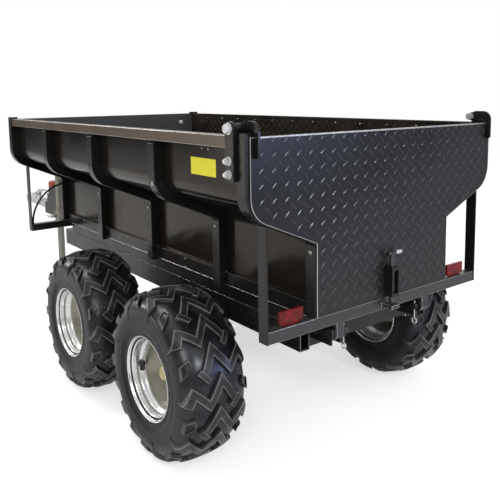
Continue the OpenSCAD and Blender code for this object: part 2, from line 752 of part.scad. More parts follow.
// Half outline of the tailgate, with the same flare as the ribs
function gate_line() =
  let (lo = [gate_low_x, flare_lo_z + (lower_x - gate_low_x) * corner_shift])
  let (hi = [gate_x, lo.y + (gate_x - gate_low_x) * tan(flare)])
  concat(
    [[lo.x, gate_bottom], lo],
    arc([hi.x - gate_upper_r, hi.y + gate_upper_r * corner_shift], gate_upper_r, -turn, 0, 12),
    [[hi.x, rail_z - 1]]
  );
module gate_plate() color(paint) cart() slab(gate_rear, -gate_gap)
  polygon(concat(gate_line(), [for (p = reversed(gate_line())) [-p.x, p.y]]));

arm_drop = 58;
arm_low = rail_z - arm_drop;
arm_hub_r = 14;
arm_neck = 4;
arm_bend = 30;
arm_hump = [[20, 2], [34, 0]];
arm_tip = 6;
arm_in = 13;
arm_x = gate_x - arm_in - arm_t;
// Side view of a hooked arm, from its pivot over the top edge of the gate and down its rear face
function arm_line() = concat(
  [[pivot_y, pivot_z - arm_neck], [pivot_y, pivot_z + arm_hub_r]],
  [for (h = arm_hump) [pivot_y - h.x, arm_top - h.y]],
  arc([arm_rear + arm_bend, arm_top - arm_bend], arm_bend, 90, 180, 8),
  [[arm_rear, arm_low + arm_tip], [arm_rear + arm_tip, arm_low]],
  [[gate_rear, arm_low], [gate_rear, pivot_z - arm_neck]]
);
module gate_arms() color(paint) cart() both() difference() {
  union() {
    translate([0, pivot_y, pivot_z]) bar_x(arm_x, bracket_in - side_gap, 2 * arm_hub_r);
    plate(arm_x, arm_x + arm_t) polygon(arm_line());
  }
  translate([0, pivot_y, pivot_z]) bar_x(arm_x - 1, bracket_in, pivot_d + 2 * run_gap);
}
nut_over = 13;
head_t = 10;
head_washer_d = 32;
module pivot_bolts() color(zinc) cart() both() translate([0, pivot_y, pivot_z]) {
  bar_x(arm_x - nut_over + 1, bracket_face + 3, pivot_d);
  bar_x(bracket_face + side_gap, bracket_face + washer_t, head_washer_d);
  bar_x(bracket_face + washer_t, bracket_face + washer_t + head_t, hex_d(pivot_d), $fn = 6);
  bar_x(arm_x - nut_over, arm_x - side_gap, hex_d(pivot_d), $fn = 6);
}

// Drop bolt that locks the tailgate to the keeper on the rear bar
bolt_d = 16;
bolt_lift = 38;
bolt_over = 8;
keeper_w = 36;
keeper_t = 12;
keeper_up = 10;
keeper_play = 2;
keeper_z = bar_z + keeper_up;
guide_up = 14;
guide_h = 95;
guide_z = [floor_z + guide_up, floor_z + guide_up + guide_h];
guide_t = 10;
guide_wall = 5;
module latch_guide() color(paint) cart() difference() {
  union() {
    for (z = [guide_z[0], guide_z[1] - guide_t])
      box([-guide_w / 2, guide_rear, z], [guide_w / 2, gate_rear, z + guide_t]);
    both() box([guide_w / 2 - guide_wall, guide_rear, guide_z[0]],
      [guide_w / 2, gate_rear, guide_z[1]]);
  }
  translate([0, bolt_y, guide_z[0] - 1]) cylinder(d = bolt_d + 2 * run_gap, h = guide_z[1] - guide_z[0] + 2);
}
grip_x = [-21, 43];
grip_d = 12;
bolt_foot = keeper_z + keeper_t + keeper_play;
bolt_top = guide_z[1] + bolt_lift + bolt_over;
module latch_bolt() color(zinc) cart() translate([0, bolt_y, 0]) {
  translate([0, 0, bolt_foot]) cylinder(d = bolt_d, h = bolt_top - bolt_foot);
  translate([0, 0, bolt_top - grip_d / 4]) bar_x(grip_x[0], grip_x[1], grip_d);
}

// Front end

shank_d = 52;
shank_l = 150;
flange_t = 8;
jaw_x = 34;
jaw_h = 34;
jaw_drop = 8;
crown_r = 24;
dome_h = 14;
socket_d = ball_d + 1;
coupling_z = beam_top - drawbar_s / 2;
cup_r = 38;
cup_y = nose_y - cup_r;
ear_t = 6;
ear_l = 16;
ear_h = 14;
ear_gap = 1;
handle_w = 26;
handle_out = 260;
handle_rise = 60;
handle_y = drawbar_y + handle_out;
handle_z = coupling_z + handle_rise;
handle_pin = 10;
handle_eye = 15;
module coupling_body() color(zinc) cart() {
  difference() {
    union() {
      translate([0, 0, coupling_z]) bar_y(drawbar_y, drawbar_y + shank_l, shank_d);
      box([-drawbar_s / 2, drawbar_y, drawbar_z], [drawbar_s / 2, drawbar_y + flange_t, beam_top]);
      box([-jaw_x, drawbar_y + shank_l, coupling_z - jaw_drop], [jaw_x, cup_y - 10, coupling_z + jaw_h]);
      translate([0, cup_y, coupling_z - jaw_drop]) cylinder(r = cup_r, h = jaw_drop + jaw_h);
      translate([0, cup_y, coupling_z + jaw_h]) cylinder(r1 = cup_r, r2 = crown_r, h = dome_h);
    }
    translate([0, cup_y, coupling_z]) sphere(d = socket_d);
    translate([0, cup_y, coupling_z - 2 * jaw_drop]) cylinder(d = socket_d, h = 2 * jaw_drop);
  }
  both() translate([handle_w / 2 + ear_gap, handle_y, 0])
    box([0, -ear_l, coupling_z + jaw_h], [ear_t, ear_l, handle_z + ear_h]);
  translate([0, handle_y, handle_z])
    bar_x(-handle_w / 2 - ear_gap - ear_t, handle_w / 2 + ear_gap + ear_t, handle_pin);
}
// Side view of the coupling handle about its pin
handle_line = [[10, 11], [-60, 40], [-150, 46], [-152, 34], [-70, 22], [-10, -11]];
module coupling_handle() color(zinc) cart() difference() {
  plate(-handle_w / 2, handle_w / 2) translate([handle_y, handle_z]) {
    circle(r = handle_eye);
    polygon(handle_line);
  }
  translate([0, handle_y, handle_z]) bar_x(-handle_w, handle_w, handle_pin + 2 * run_gap);
}

leg_x = 76;
leg_over = 275;
leg_top = coupling_z + leg_over;
leg_t = 4;
foot_t = 8;
clamp_h = 60;
clamp_t = 10;
clamp_boss_d = 26;
clamp_boss_l = 12;
screw_d = 14;
screw_l = 44;
screw_bar = 45;
screw_bar_d = 10;
screw_bar_in = 6;
clamp_r = leg_d / 2 + clamp_t;
clamp_z = coupling_z - clamp_h / 2;
module leg_clamp() color(galvanised) cart() translate([-leg_x, leg_y, clamp_z]) difference() {
  union() {
    cylinder(r = clamp_r, h = clamp_h);
    box([0, -clamp_r, 0], [leg_x - drawbar_s / 2, clamp_r, clamp_h]);
    translate([0, 0, clamp_h / 2]) bar_x(-clamp_r - clamp_boss_l, -leg_d / 2 - leg_t, clamp_boss_d);
  }
  translate([0, 0, -1]) cylinder(d = leg_d + 2 * run_gap, h = clamp_h + 2);
  translate([0, 0, clamp_h / 2]) bar_x(-clamp_r - clamp_boss_l - 1, 0, screw_d + 2 * run_gap);
}
module leg_tube() color(galvanised) cart() translate([-leg_x, leg_y, 0]) {
  difference() {
    translate([0, 0, foot_t]) cylinder(d = leg_d, h = leg_top - foot_t);
    translate([0, 0, foot_t + leg_t]) cylinder(d = leg_d - 2 * leg_t, h = leg_top);
  }
  cylinder(d = foot_d, h = foot_t);
}
module clamp_screw() color(zinc) cart() translate([-leg_x, leg_y, clamp_z + clamp_h / 2]) {
  bar_x(-clamp_r - screw_l, -leg_d / 2 - weld_gap, screw_d);
  translate([-clamp_r - screw_l + screw_bar_in, 0, 0]) bar_y(-screw_bar, screw_bar, screw_bar_d);
}

// Hydraulic unit on top of the drawbar
pump_back = 137;
pump_y = drawbar_y - pump_back;
pump_l = 95;
pump_w = 76;
pump_h = 58;
motor_h = 82;
motor_top_d = 60;
motor_round = 8;
tank_l = 150;
tank_w = 120;
tank_h = 118;
tank_cut = 24;
filler_y = 54;
filler_d = 44;
filler_h = 14;
module pump_unit() color(plastic) cart() translate([0, pump_y, beam_top]) {
  box([-pump_w / 2, 0, 0], [pump_w / 2, pump_l, pump_h]);
  translate([0, pump_l / 2, pump_h]) cylinder(d = pump_w, h = motor_h);
  translate([0, pump_l / 2, pump_h + motor_h]) cylinder(d1 = pump_w, d2 = motor_top_d, h = motor_round);
}
module oil_tank() color(rubber) cart() translate([0, pump_y - tank_l, beam_top]) {
  difference() {
    box([-tank_w / 2, 0, 0], [tank_w / 2, tank_l, tank_h]);
    both() translate([tank_w / 2, tank_l / 2, tank_h]) rotate([0, 45, 0])
      cube([tank_cut, 2 * tank_l, tank_cut], center = true);
  }
  translate([0, filler_y, tank_h]) cylinder(d = filler_d, h = filler_h);
}

chassis_beam_left();
chassis_beam_right();
cross_tubes();
front_struts();
drawbar();
hinge_arms();
tip_pins();
pin_clips();
rest_pads();
bogie_shaft();
bogie_collars();
coupling_body();
leg_clamp();
pump_unit();
oil_tank();
coupling_handle();
leg_tube();
clamp_screw();
bogie_left();
bogie_right();
tyre_at(axle_y, -1);  // tyre_rear_left
tyre_at(axle_y, 1);  // tyre_rear_right
tyre_at(front_axle_y, -1);  // tyre_front_left
tyre_at(front_axle_y, 1);  // tyre_front_right
rim_at(axle_y, -1);  // rim_rear_left
rim_at(axle_y, 1);  // rim_rear_right
rim_at(front_axle_y, -1);  // rim_front_left
rim_at(front_axle_y, 1);  // rim_front_right
hub_at(axle_y, -1);  // hub_rear_left
hub_at(axle_y, 1);  // hub_rear_right
hub_at(front_axle_y, -1);  // hub_front_left
hub_at(front_axle_y, 1);  // hub_front_right
lift_barrel();
lift_stage_1();
lift_stage_2();
lift_stage_3();
floor_plate();
wall_left();
wall_right();
front_wall();
ribs_left();
ribs_right();
corner_posts();
rails();
sills();
longerons();
cross_members();
rear_bar();
front_bar();
bar_posts();
reflectors();
hinge_brackets();
bracket_bolts();
front_hose();
gate_plate();
gate_arms();
pivot_bolts();
latch_guide();
latch_bolt();
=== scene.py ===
import json
import math

import bmesh
import bpy
import numpy as np
from mathutils import Matrix, Vector

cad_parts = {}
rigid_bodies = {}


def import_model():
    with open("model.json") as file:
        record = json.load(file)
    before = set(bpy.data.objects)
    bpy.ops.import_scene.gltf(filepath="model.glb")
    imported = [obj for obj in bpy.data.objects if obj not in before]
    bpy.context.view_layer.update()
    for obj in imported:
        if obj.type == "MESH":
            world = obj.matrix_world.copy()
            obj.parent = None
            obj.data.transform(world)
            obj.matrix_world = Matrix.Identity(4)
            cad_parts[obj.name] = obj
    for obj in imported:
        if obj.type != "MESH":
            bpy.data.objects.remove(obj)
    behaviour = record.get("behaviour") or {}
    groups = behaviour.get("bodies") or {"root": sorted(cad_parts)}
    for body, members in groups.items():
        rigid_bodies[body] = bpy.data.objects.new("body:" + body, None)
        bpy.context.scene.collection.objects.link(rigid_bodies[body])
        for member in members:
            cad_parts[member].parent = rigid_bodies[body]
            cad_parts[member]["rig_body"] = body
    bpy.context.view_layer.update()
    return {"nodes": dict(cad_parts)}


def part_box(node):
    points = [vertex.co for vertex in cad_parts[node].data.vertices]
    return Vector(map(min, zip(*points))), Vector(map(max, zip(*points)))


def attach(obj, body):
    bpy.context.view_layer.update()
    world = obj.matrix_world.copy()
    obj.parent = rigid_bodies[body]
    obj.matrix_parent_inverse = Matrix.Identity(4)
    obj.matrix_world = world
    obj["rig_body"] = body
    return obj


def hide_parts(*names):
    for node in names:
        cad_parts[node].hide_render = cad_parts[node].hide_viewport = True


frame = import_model()
scene = bpy.context.scene
scene.view_settings.view_transform = "Standard"
nodes = frame["nodes"]
print("frame loaded:", len(nodes), "nodes")

# distances along the cart are given from the rear face of the tub, in metres; rearY moves them to the frame
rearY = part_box("corner_posts")[0].y


def fromRear(x, y, z):
    return np.array([x, y + rearY, z])


def middleOf(node):
    low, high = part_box(node)
    return np.array((low + high) / 2)


def bodyOf(node):
    return nodes[node]["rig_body"]


# colours are written as three numbers, and their sockets take an alpha as well
def asInput(value):
    return (*value, 1.0) if isinstance(value, tuple) else value


# a socket linked from another socket, or set to a number or colour
def feed(tree, source, socket):
    if isinstance(source, bpy.types.NodeSocket):
        tree.links.new(source, socket)
    else:
        socket.default_value = asInput(source)


# sockets by name, with an underscore for each space
def feedAll(tree, sockets, **sources):
    for key, source in sources.items():
        feed(tree, source, sockets[key.replace("_", " ")])


# a shader node with its settings, and its inputs by name
def addNode(tree, kind, **values):
    node = tree.nodes.new("ShaderNode" + kind)
    for key, value in values.items():
        if hasattr(node, key):
            setattr(node, key, value)
        else:
            feed(tree, value, node.inputs[key])
    return node


def axesOf(tree, vector):
    return addNode(tree, "SeparateXYZ", Vector=vector).outputs


def noiseNode(tree, coords, scale, detail=3.0, rough=0.55):
    noise = addNode(tree, "TexNoise", Vector=coords, Scale=scale, Detail=detail, Roughness=rough)
    return noise.outputs["Fac"]


def rangeNode(tree, source, low, high, toLow, toHigh):
    ends = {"From Min": low, "From Max": high, "To Min": toLow, "To Max": toHigh}
    return addNode(tree, "MapRange", Value=source, **ends).outputs["Result"]


def mixColour(tree, factor, a, b):
    node = addNode(tree, "Mix", data_type="RGBA")
    for source, index in ((factor, 0), (a, 6), (b, 7)):
        feed(tree, source, node.inputs[index])
    return node.outputs[2]


# sources combined one after another by the same operation
def mathNode(tree, operation, result, *others):
    for other in others:
        node = addNode(tree, "Math", operation=operation)
        feed(tree, result, node.inputs[0])
        feed(tree, other, node.inputs[1])
        result = node.outputs[0]
    return result


def plus(tree, *sources):
    return mathNode(tree, "ADD", *sources)


def times(tree, *sources):
    return mathNode(tree, "MULTIPLY", *sources)


# a node group with inputs and their defaults, and the outputs Color, Roughness, Height and any others
def newGroup(name, inputs, *others):
    group = bpy.data.node_groups.new(name, "ShaderNodeTree")
    for label, value in inputs.items():
        kind = "NodeSocketColor" if isinstance(value, tuple) else "NodeSocketFloat"
        socket = group.interface.new_socket(label, in_out="INPUT", socket_type=kind)
        socket.default_value = asInput(value)
    group.interface.new_socket("Color", in_out="OUTPUT", socket_type="NodeSocketColor")
    for label in ("Roughness", "Height", *others):
        group.interface.new_socket(label, in_out="OUTPUT", socket_type="NodeSocketFloat")
    return group, group.nodes.new("NodeGroupInput").outputs, group.nodes.new("NodeGroupOutput").inputs


# powder coat: fine orange peel, cloudy roughness, and a brown tone that thickens towards the ground, part
# road dusting and part a painted reflection of the floor; in the dictionaries of the groups, noises are
# (scale, detail, roughness) and ranges are (from, from, to, to)
coat = {
    "peel": (520.0, 2.0), "clouds": (6.0, 5.0), "grit": (190.0, 4.0, 0.7),
    "low": (0.35, 0.85, 1.0, 0.12), "patch": (0.35, 0.7, 0.25, 1.0), "speck": (0.45, 0.75, 0.35, 1.0),
    # x times the normal's x is below zero on faces that look to the middle of the tub
    "inward": (-0.1, -0.02, 1.0, 0.0),
    # a dull film grows with alongX x + alongZ z, to the right and downwards, and leaves the upper left bright
    "alongX": 2.9, "alongZ": -5.0, "film": (-4.9, -3.7, 0.0, 1.0), "filmDust": 0.22, "filmRough": 0.22,
    "cloudRough": (0.3, 0.7, -0.05, 0.06), "dustRough": 0.5, "dustHeight": 0.6,
}


def makeCoatGroup():
    tree, given, made = newGroup("powderCoat", {
        "Coat": (0.01, 0.01, 0.01), "Dust": (0.115, 0.095, 0.075), "Dustiness": 0.3, "Gloss": 0.35,
        "Scuffs": 0.0, "Film": 0.0})
    coords = addNode(tree, "TexCoord").outputs["Object"]
    place = axesOf(tree, coords)
    facing = axesOf(tree, addNode(tree, "NewGeometry").outputs["Normal"])
    peel, clouds, grit = [noiseNode(tree, coords, *coat[key]) for key in ("peel", "clouds", "grit")]
    inward = rangeNode(tree, times(tree, place["X"], facing["X"]), *coat["inward"])
    # low: brown towards the ground, road dusting and also a painted reflection of the pale floor low on the
    # walls
    low = rangeNode(tree, place["Z"], *coat["low"])
    patch = rangeNode(tree, clouds, *coat["patch"])
    speck = rangeNode(tree, grit, *coat["speck"])
    slope = plus(tree, times(tree, place["X"], coat["alongX"]), times(tree, place["Z"], coat["alongZ"]))
    film = times(tree, rangeNode(tree, slope, *coat["film"]), given["Film"])
    dustAndReflection = plus(tree, times(tree, low, patch, speck, given["Dustiness"]),
                times(tree, inward, patch, given["Scuffs"]), times(tree, film, speck, coat["filmDust"]))
    rough = plus(tree, given["Gloss"], rangeNode(tree, clouds, *coat["cloudRough"]),
                 times(tree, dustAndReflection, coat["dustRough"]), times(tree, film, coat["filmRough"]))
    height = plus(tree, peel, times(tree, dustAndReflection, coat["dustHeight"]))
    colour = mixColour(tree, dustAndReflection, given["Coat"], given["Dust"])
    feedAll(tree, made, Color=colour, Roughness=rough, Height=height)
    return tree


# plated or bare steel: cells of lighter and darker tone, grime and fine speckle
steel = {"grime": (45.0, 6.0, 0.65), "grimy": (0.45, 0.75, 0.0, 1.0), "fine": (900.0, 2.0), "dullRough": 0.18}


def makeMetalGroup():
    tree, given, made = newGroup("platedSteel", {
        "Bright": (0.7, 0.7, 0.7), "Dull": (0.4, 0.4, 0.4), "Scale": 40.0, "Gloss": 0.3, "Spangle": 0.45,
        "Grime": 0.7})
    coords = addNode(tree, "TexCoord").outputs["Object"]
    spangle = addNode(tree, "TexVoronoi", Vector=coords, Scale=given["Scale"])
    tone = addNode(tree, "RGBToBW", Color=spangle.outputs["Color"]).outputs[0]
    grime = rangeNode(tree, noiseNode(tree, coords, *steel["grime"]), *steel["grimy"])
    dull = plus(tree, times(tree, tone, given["Spangle"]), times(tree, grime, given["Grime"]))
    rough = plus(tree, given["Gloss"], times(tree, dull, steel["dullRough"]))
    colour = mixColour(tree, dull, given["Bright"], given["Dull"])
    feedAll(tree, made, Color=colour, Roughness=rough, Height=noiseNode(tree, coords, *steel["fine"]))
    return tree


# rubber: fine pores, dusty brown bloom on worn edges read from the wear attribute,
# and a patchy sheen on the tread read from the crown attribute
rubber = {"pores": (700.0, 3.0), "mottle": (24.0, 5.0, 0.6), "bloom": (0.3, 0.65, 0.35, 1.0),
          "haze": (0.45, 0.8, 0.0, 0.05), "rough": (0.3, 0.7, 0.27, 0.40), "sheen": (0.3, 0.7, 0.25, 0.80)}


def makeRubberGroup():
    tree, given, made = newGroup("tyreRubber", {
        "Rubber": (0.03, 0.03, 0.033), "Bloom": (0.2, 0.16, 0.12), "Wear": 0.8}, "Sheen")
    coords = addNode(tree, "TexCoord").outputs["Object"]
    worn = addNode(tree, "Attribute", attribute_name="wear").outputs["Fac"]
    crown = addNode(tree, "Attribute", attribute_name="crown").outputs["Fac"]
    pores = noiseNode(tree, coords, *rubber["pores"])
    mottle = noiseNode(tree, coords, *rubber["mottle"])
    bloom = times(tree, worn, rangeNode(tree, mottle, *rubber["bloom"]), given["Wear"])
    haze = plus(tree, bloom, rangeNode(tree, mottle, *rubber["haze"]))
    colour = mixColour(tree, haze, given["Rubber"], given["Bloom"])
    rough = rangeNode(tree, mottle, *rubber["rough"])
    sheen = times(tree, crown, rangeNode(tree, mottle, *rubber["sheen"]))
    feedAll(tree, made, Color=colour, Roughness=rough, Height=plus(tree, pores, mottle), Sheen=sheen)
    return tree


# reflector lens: a grid of small prisms behind clear red plastic
lens = {"bands": (30.0, 2.0), "prismDeep": (0.15, 0.7, 0.0, 0.8), "bandDeep": (0.4, 0.65, 0.0, 0.5),
        "deepRough": 0.1}


def makeLensGroup():
    tree, given, made = newGroup("prismLens", {
        "Bright": (0.4, 0.01, 0.01), "Deep": (0.1, 0.0, 0.0), "Scale": 150.0, "Gloss": 0.2})
    coords = addNode(tree, "TexCoord").outputs["Object"]
    cells = addNode(tree, "TexVoronoi", Vector=coords, Scale=given["Scale"], Randomness=0.0)
    prism = cells.outputs["Distance"]
    bands = noiseNode(tree, coords, *lens["bands"])
    deep = plus(tree, rangeNode(tree, prism, *lens["prismDeep"]), rangeNode(tree, bands, *lens["bandDeep"]))
    rough = plus(tree, given["Gloss"], times(tree, deep, lens["deepRough"]))
    colour = mixColour(tree, deep, given["Bright"], given["Deep"])
    feedAll(tree, made, Color=colour, Roughness=rough, Height=prism)
    return tree


coatGroup = makeCoatGroup()
lensGroup = makeLensGroup()
metalGroup = makeMetalGroup()
rubberGroup = makeRubberGroup()


# a material from a group, with the group's inputs, strength and depth of its relief, and Principled inputs
def groupMaterial(name, group, values, bump, depth, **shader):
    material = bpy.data.materials.new(name)
    material.use_nodes = True
    tree = material.node_tree
    skin = tree.nodes["Principled BSDF"].inputs
    node = addNode(tree, "Group", node_tree=group)
    feedAll(tree, node.inputs, **values)
    relief = addNode(tree, "Bump", Strength=bump, Distance=depth, Height=node.outputs["Height"])
    feedAll(tree, skin, Base_Color=node.outputs["Color"], Roughness=node.outputs["Roughness"],
            Normal=relief.outputs["Normal"], **shader)
    if "Sheen" in node.outputs:
        feed(tree, node.outputs["Sheen"], skin["Coat Weight"])
    return material


# reflectionTint colours the coat's reflections: a painted colour of the reflected light, not of the paint
def paint(name, bump, depth, specular, reflectionTint=(1.0, 1.0, 1.0), **values):
    shader = {"Specular_IOR_Level": specular, "Specular_Tint": reflectionTint}
    return groupMaterial(name, coatGroup, values, bump, depth, **shader)


def metal(name, bump, depth, metallic, **values):
    return groupMaterial(name, metalGroup, values, bump, depth, Metallic=metallic)


# the warm tints of the black, wall and rail coats, and the blue tints and faint blue coat of the tread plate,
# paint the colour of the light they reflect
blackPaint = paint("blackPowderCoat", 0.10, 0.0006, 0.40, (1.0, 0.95, 0.90), Coat=(0.007, 0.007, 0.007),
                   Dustiness=0.28, Gloss=0.25)
wallPaint = paint("scuffedWallCoat", 0.06, 0.0006, 0.34, (1.0, 0.87, 0.74), Coat=(0.0092, 0.0073, 0.0056),
                  Dustiness=0.30, Gloss=0.16, Scuffs=0.16)
# the front wall's grey coat is dusting and a painted reflection of the bright room on the inside of the wall
frontDustAndReflectionPaint = paint("frontCoatDustAndReflection", 0.10, 0.0006, 0.42, Coat=(0.055, 0.055, 0.054), Dustiness=0.5,
                   Gloss=0.45)
barPaint = paint("rubbedBarCoat", 0.10, 0.0006, 0.42, Coat=(0.034, 0.034, 0.036), Dustiness=0.42, Gloss=0.25)
# the rails' brown coat and warm tints are a painted warm reflection along the rails
railPaint = paint("railCoat", 0.10, 0.0006, 1.0, (1.0, 0.84, 0.70), Coat=(0.062, 0.042, 0.026),
                  Dustiness=0.42, Gloss=0.34)
gatePaint = paint("treadPlateCoat", 0.14, 0.0006, 0.40, (0.95, 0.97, 1.0), Coat=(0.007, 0.007, 0.008),
                  Dustiness=0.12, Gloss=0.27, Film=0.6)
lugPaint = paint("polishedLugs", 0.05, 0.0004, 0.6, Coat=(0.012, 0.012, 0.013), Dustiness=0.10, Gloss=0.20,
                 Film=1.0)
labelYellow = paint("labelYellow", 0.03, 0.0002, 0.4, Coat=(0.92, 0.82, 0.012), Dust=(0.8, 0.68, 0.05),
                    Dustiness=0.25, Gloss=0.35)
motorRed = paint("motorRed", 0.05, 0.0003, 0.4, Coat=(0.42, 0.085, 0.045), Dust=(0.45, 0.22, 0.15),
                 Dustiness=0.4, Gloss=0.35)
# bright metal for rubbed edges and beads: partly wear, partly a painted highlight that lines the edges
# whatever the lamps do
wornEdgeAndHighlight = metal("wornEdgeAndHighlight", 0.0, 0.0003, 0.8, Bright=(0.62, 0.62, 0.62), Dull=(0.10, 0.10, 0.10), Scale=90.0,
                 Gloss=0.22, Spangle=0.08, Grime=0.3)
darkSteel = metal("darkSteel", 0.05, 0.0003, 0.9, Bright=(0.12, 0.12, 0.12), Dull=(0.03, 0.03, 0.03),
                  Scale=160.0, Gloss=0.26)
zincPlate = metal("zincPlate", 0.05, 0.0003, 0.5, Bright=(0.80, 0.80, 0.80), Dull=(0.45, 0.44, 0.42),
                  Scale=160.0, Gloss=0.24)
galvanised = metal("galvanisedTube", 0.08, 0.0004, 0.7, Bright=(0.36, 0.35, 0.31), Dull=(0.22, 0.21, 0.18),
                   Scale=70.0, Gloss=0.42)
rimSilver = metal("rimSilver", 0.0, 0.0002, 0.75, Bright=(0.90, 0.90, 0.90), Dull=(0.66, 0.66, 0.65),
                  Scale=30.0, Gloss=0.24, Spangle=0.04, Grime=0.12)
discSteel = metal("discSteel", 0.02, 0.0003, 0.9, Bright=(0.32, 0.31, 0.25), Dull=(0.21, 0.20, 0.155),
                  Scale=60.0, Gloss=0.34, Spangle=0.12, Grime=0.4)
yellowPlate = metal("yellowPassivate", 0.05, 0.0003, 0.9, Bright=(0.74, 0.66, 0.36), Dull=(0.50, 0.42, 0.20),
                    Scale=120.0, Gloss=0.26)
dullBolt = metal("dullBolt", 0.04, 0.0003, 1.0, Bright=(0.50, 0.50, 0.48), Dull=(0.25, 0.25, 0.23),
                 Scale=300.0, Gloss=0.28)
# the bluish specular and coat tints and the faint blue in the rubber are a painted bluish reflection on the
# tyres
tyreRubber = groupMaterial(
    "tyreRubber", rubberGroup,
    {"Rubber": (0.0065, 0.0065, 0.0082), "Bloom": (0.30, 0.275, 0.23), "Wear": 0.9},
    bump=0.22, depth=0.0012, Specular_IOR_Level=0.24, Specular_Tint=(0.92, 0.95, 1.0), Coat_Roughness=0.24,
    Coat_Tint=(0.90, 0.93, 1.0))
plainRubber = groupMaterial(
    "moulding", rubberGroup, {"Rubber": (0.016, 0.016, 0.017), "Bloom": (0.08, 0.07, 0.06), "Wear": 0.2},
    bump=0.10, depth=0.0005, Specular_IOR_Level=0.4)
reflectorRed = groupMaterial(
    "reflectorRed", lensGroup,
    {"Bright": (0.36, 0.006, 0.010), "Deep": (0.09, 0.003, 0.004), "Scale": 150.0, "Gloss": 0.16},
    bump=0.15, depth=0.0004, Specular_IOR_Level=0.3)
print("materials ready")


# smooth faces, with edges kept sharp where they turn by more than an angle in degrees
def smoothMesh(mesh, sharp):
    mesh.polygons.foreach_set("use_smooth", np.ones(len(mesh.polygons), bool))
    mesh.set_sharp_from_angle(angle=math.radians(sharp))


def addMesh(name, verts, faces, material, body, sharp):
    mesh = bpy.data.meshes.new(name)
    mesh.from_pydata(np.asarray(verts, float).reshape(-1, 3).tolist(), [], [list(map(int, f)) for f in faces])
    mesh.validate()
    mesh.update()
    smoothMesh(mesh, sharp)
    mesh.materials.append(material)
    obj = bpy.data.objects.new(name, mesh)
    scene.collection.objects.link(obj)
    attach(obj, body)
    return obj


# quads of a grid of rows by columns, closed round either way if asked
def gridFaces(rows, cols, wrapRows=False, wrapCols=False):
    r = np.arange(rows if wrapRows else rows - 1)
    c = np.arange(cols if wrapCols else cols - 1)
    rr, cc = np.meshgrid(r, c, indexing="ij")
    r2, c2 = (rr + 1) % rows, (cc + 1) % cols
    return np.stack([rr * cols + cc, rr * cols + c2, r2 * cols + c2, r2 * cols + cc], -1).reshape(-1, 4)


# quads turned so that they face away from the given reference points, one for each quad
def faceAway(verts, quads, reference):
    corner = verts[quads]
    normal = np.cross(corner[:, 2] - corner[:, 0], corner[:, 3] - corner[:, 1])
    inward = np.einsum("ij,ij->i", normal, corner.mean(1) - reference) < 0
    quads = quads.copy()
    quads[inward] = quads[inward][:, ::-1]
    return quads


# a profile of (radius, offset) turned about the X axis through centre: x = offset, y = r cos t, z = r sin t
def turnAboutX(profile, steps, centre):
    t = np.linspace(0, 2 * np.pi, steps, endpoint=False)[:, None]
    r, a = profile[None, :, 0], profile[None, :, 1]
    return (np.stack([a + 0 * t, r * np.cos(t), r * np.sin(t)], -1) + centre).reshape(-1, 3)


# rings of (radius, height) stations about the line from origin along direction, with quads facing outward
def turnAlong(origin, direction, stations, steps):
    axis = np.asarray(direction, float) / np.linalg.norm(direction)
    u = np.cross(axis, [0.0, 0.0, 1.0] if abs(axis[2]) < 0.9 else [1.0, 0.0, 0.0])
    u /= np.linalg.norm(u)
    v = np.cross(axis, u)
    a = np.linspace(0, 2 * np.pi, steps, endpoint=False)
    ring = np.cos(a)[:, None] * u + np.sin(a)[:, None] * v
    radius, height = np.array(stations).T
    verts = (origin + height[:, None, None] * axis + radius[:, None, None] * ring).reshape(-1, 3)
    return verts, gridFaces(len(radius), steps, wrapCols=True)


# several (verts, quads) parts as one
def joined(parts):
    starts = np.cumsum([0] + [len(v) for v, q in parts[:-1]])
    return np.concatenate([v for v, q in parts]), np.concatenate([q + n for (v, q), n in zip(parts, starts)])


# joining distance for a copy's points, flatness for its faces in degrees, and how its edges are rounded
rounding = {"weld": 2e-5, "flat": 0.6, "sharp": 32.0, "segments": 3}


# a CAD node with its sharp edges rounded off, so that they catch the light as folded or rolled steel does
def roundedNode(node, material, radius, edge):
    mesh = bpy.data.meshes.new(node + "Rounded")
    bm = bmesh.new()
    bm.from_mesh(nodes[node].data)
    bmesh.ops.remove_doubles(bm, verts=bm.verts, dist=rounding["weld"])
    bmesh.ops.dissolve_limit(bm, angle_limit=math.radians(rounding["flat"]), verts=bm.verts, edges=bm.edges)
    bm.to_mesh(mesh)
    bm.free()
    obj = bpy.data.objects.new(node + "Rounded", mesh)
    scene.collection.objects.link(obj)
    mesh.materials.clear()
    mesh.materials.append(material)
    # bevel faces get the edge material where one is given: bright metal that is wear and a painted highlight
    # line
    if edge:
        mesh.materials.append(edge)
    mesh.polygons.foreach_set("material_index", np.zeros(len(mesh.polygons), int))
    smoothMesh(mesh, rounding["sharp"])
    bevel = obj.modifiers.new("edge", "BEVEL")
    bevel.width = radius
    bevel.segments = rounding["segments"]
    bevel.material = 1 if edge else -1
    bevel.limit_method = "ANGLE"
    bevel.angle_limit = math.radians(rounding["sharp"])
    bevel.harden_normals = True
    bevel.use_clamp_overlap = True
    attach(obj, bodyOf(node))
    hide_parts(node)


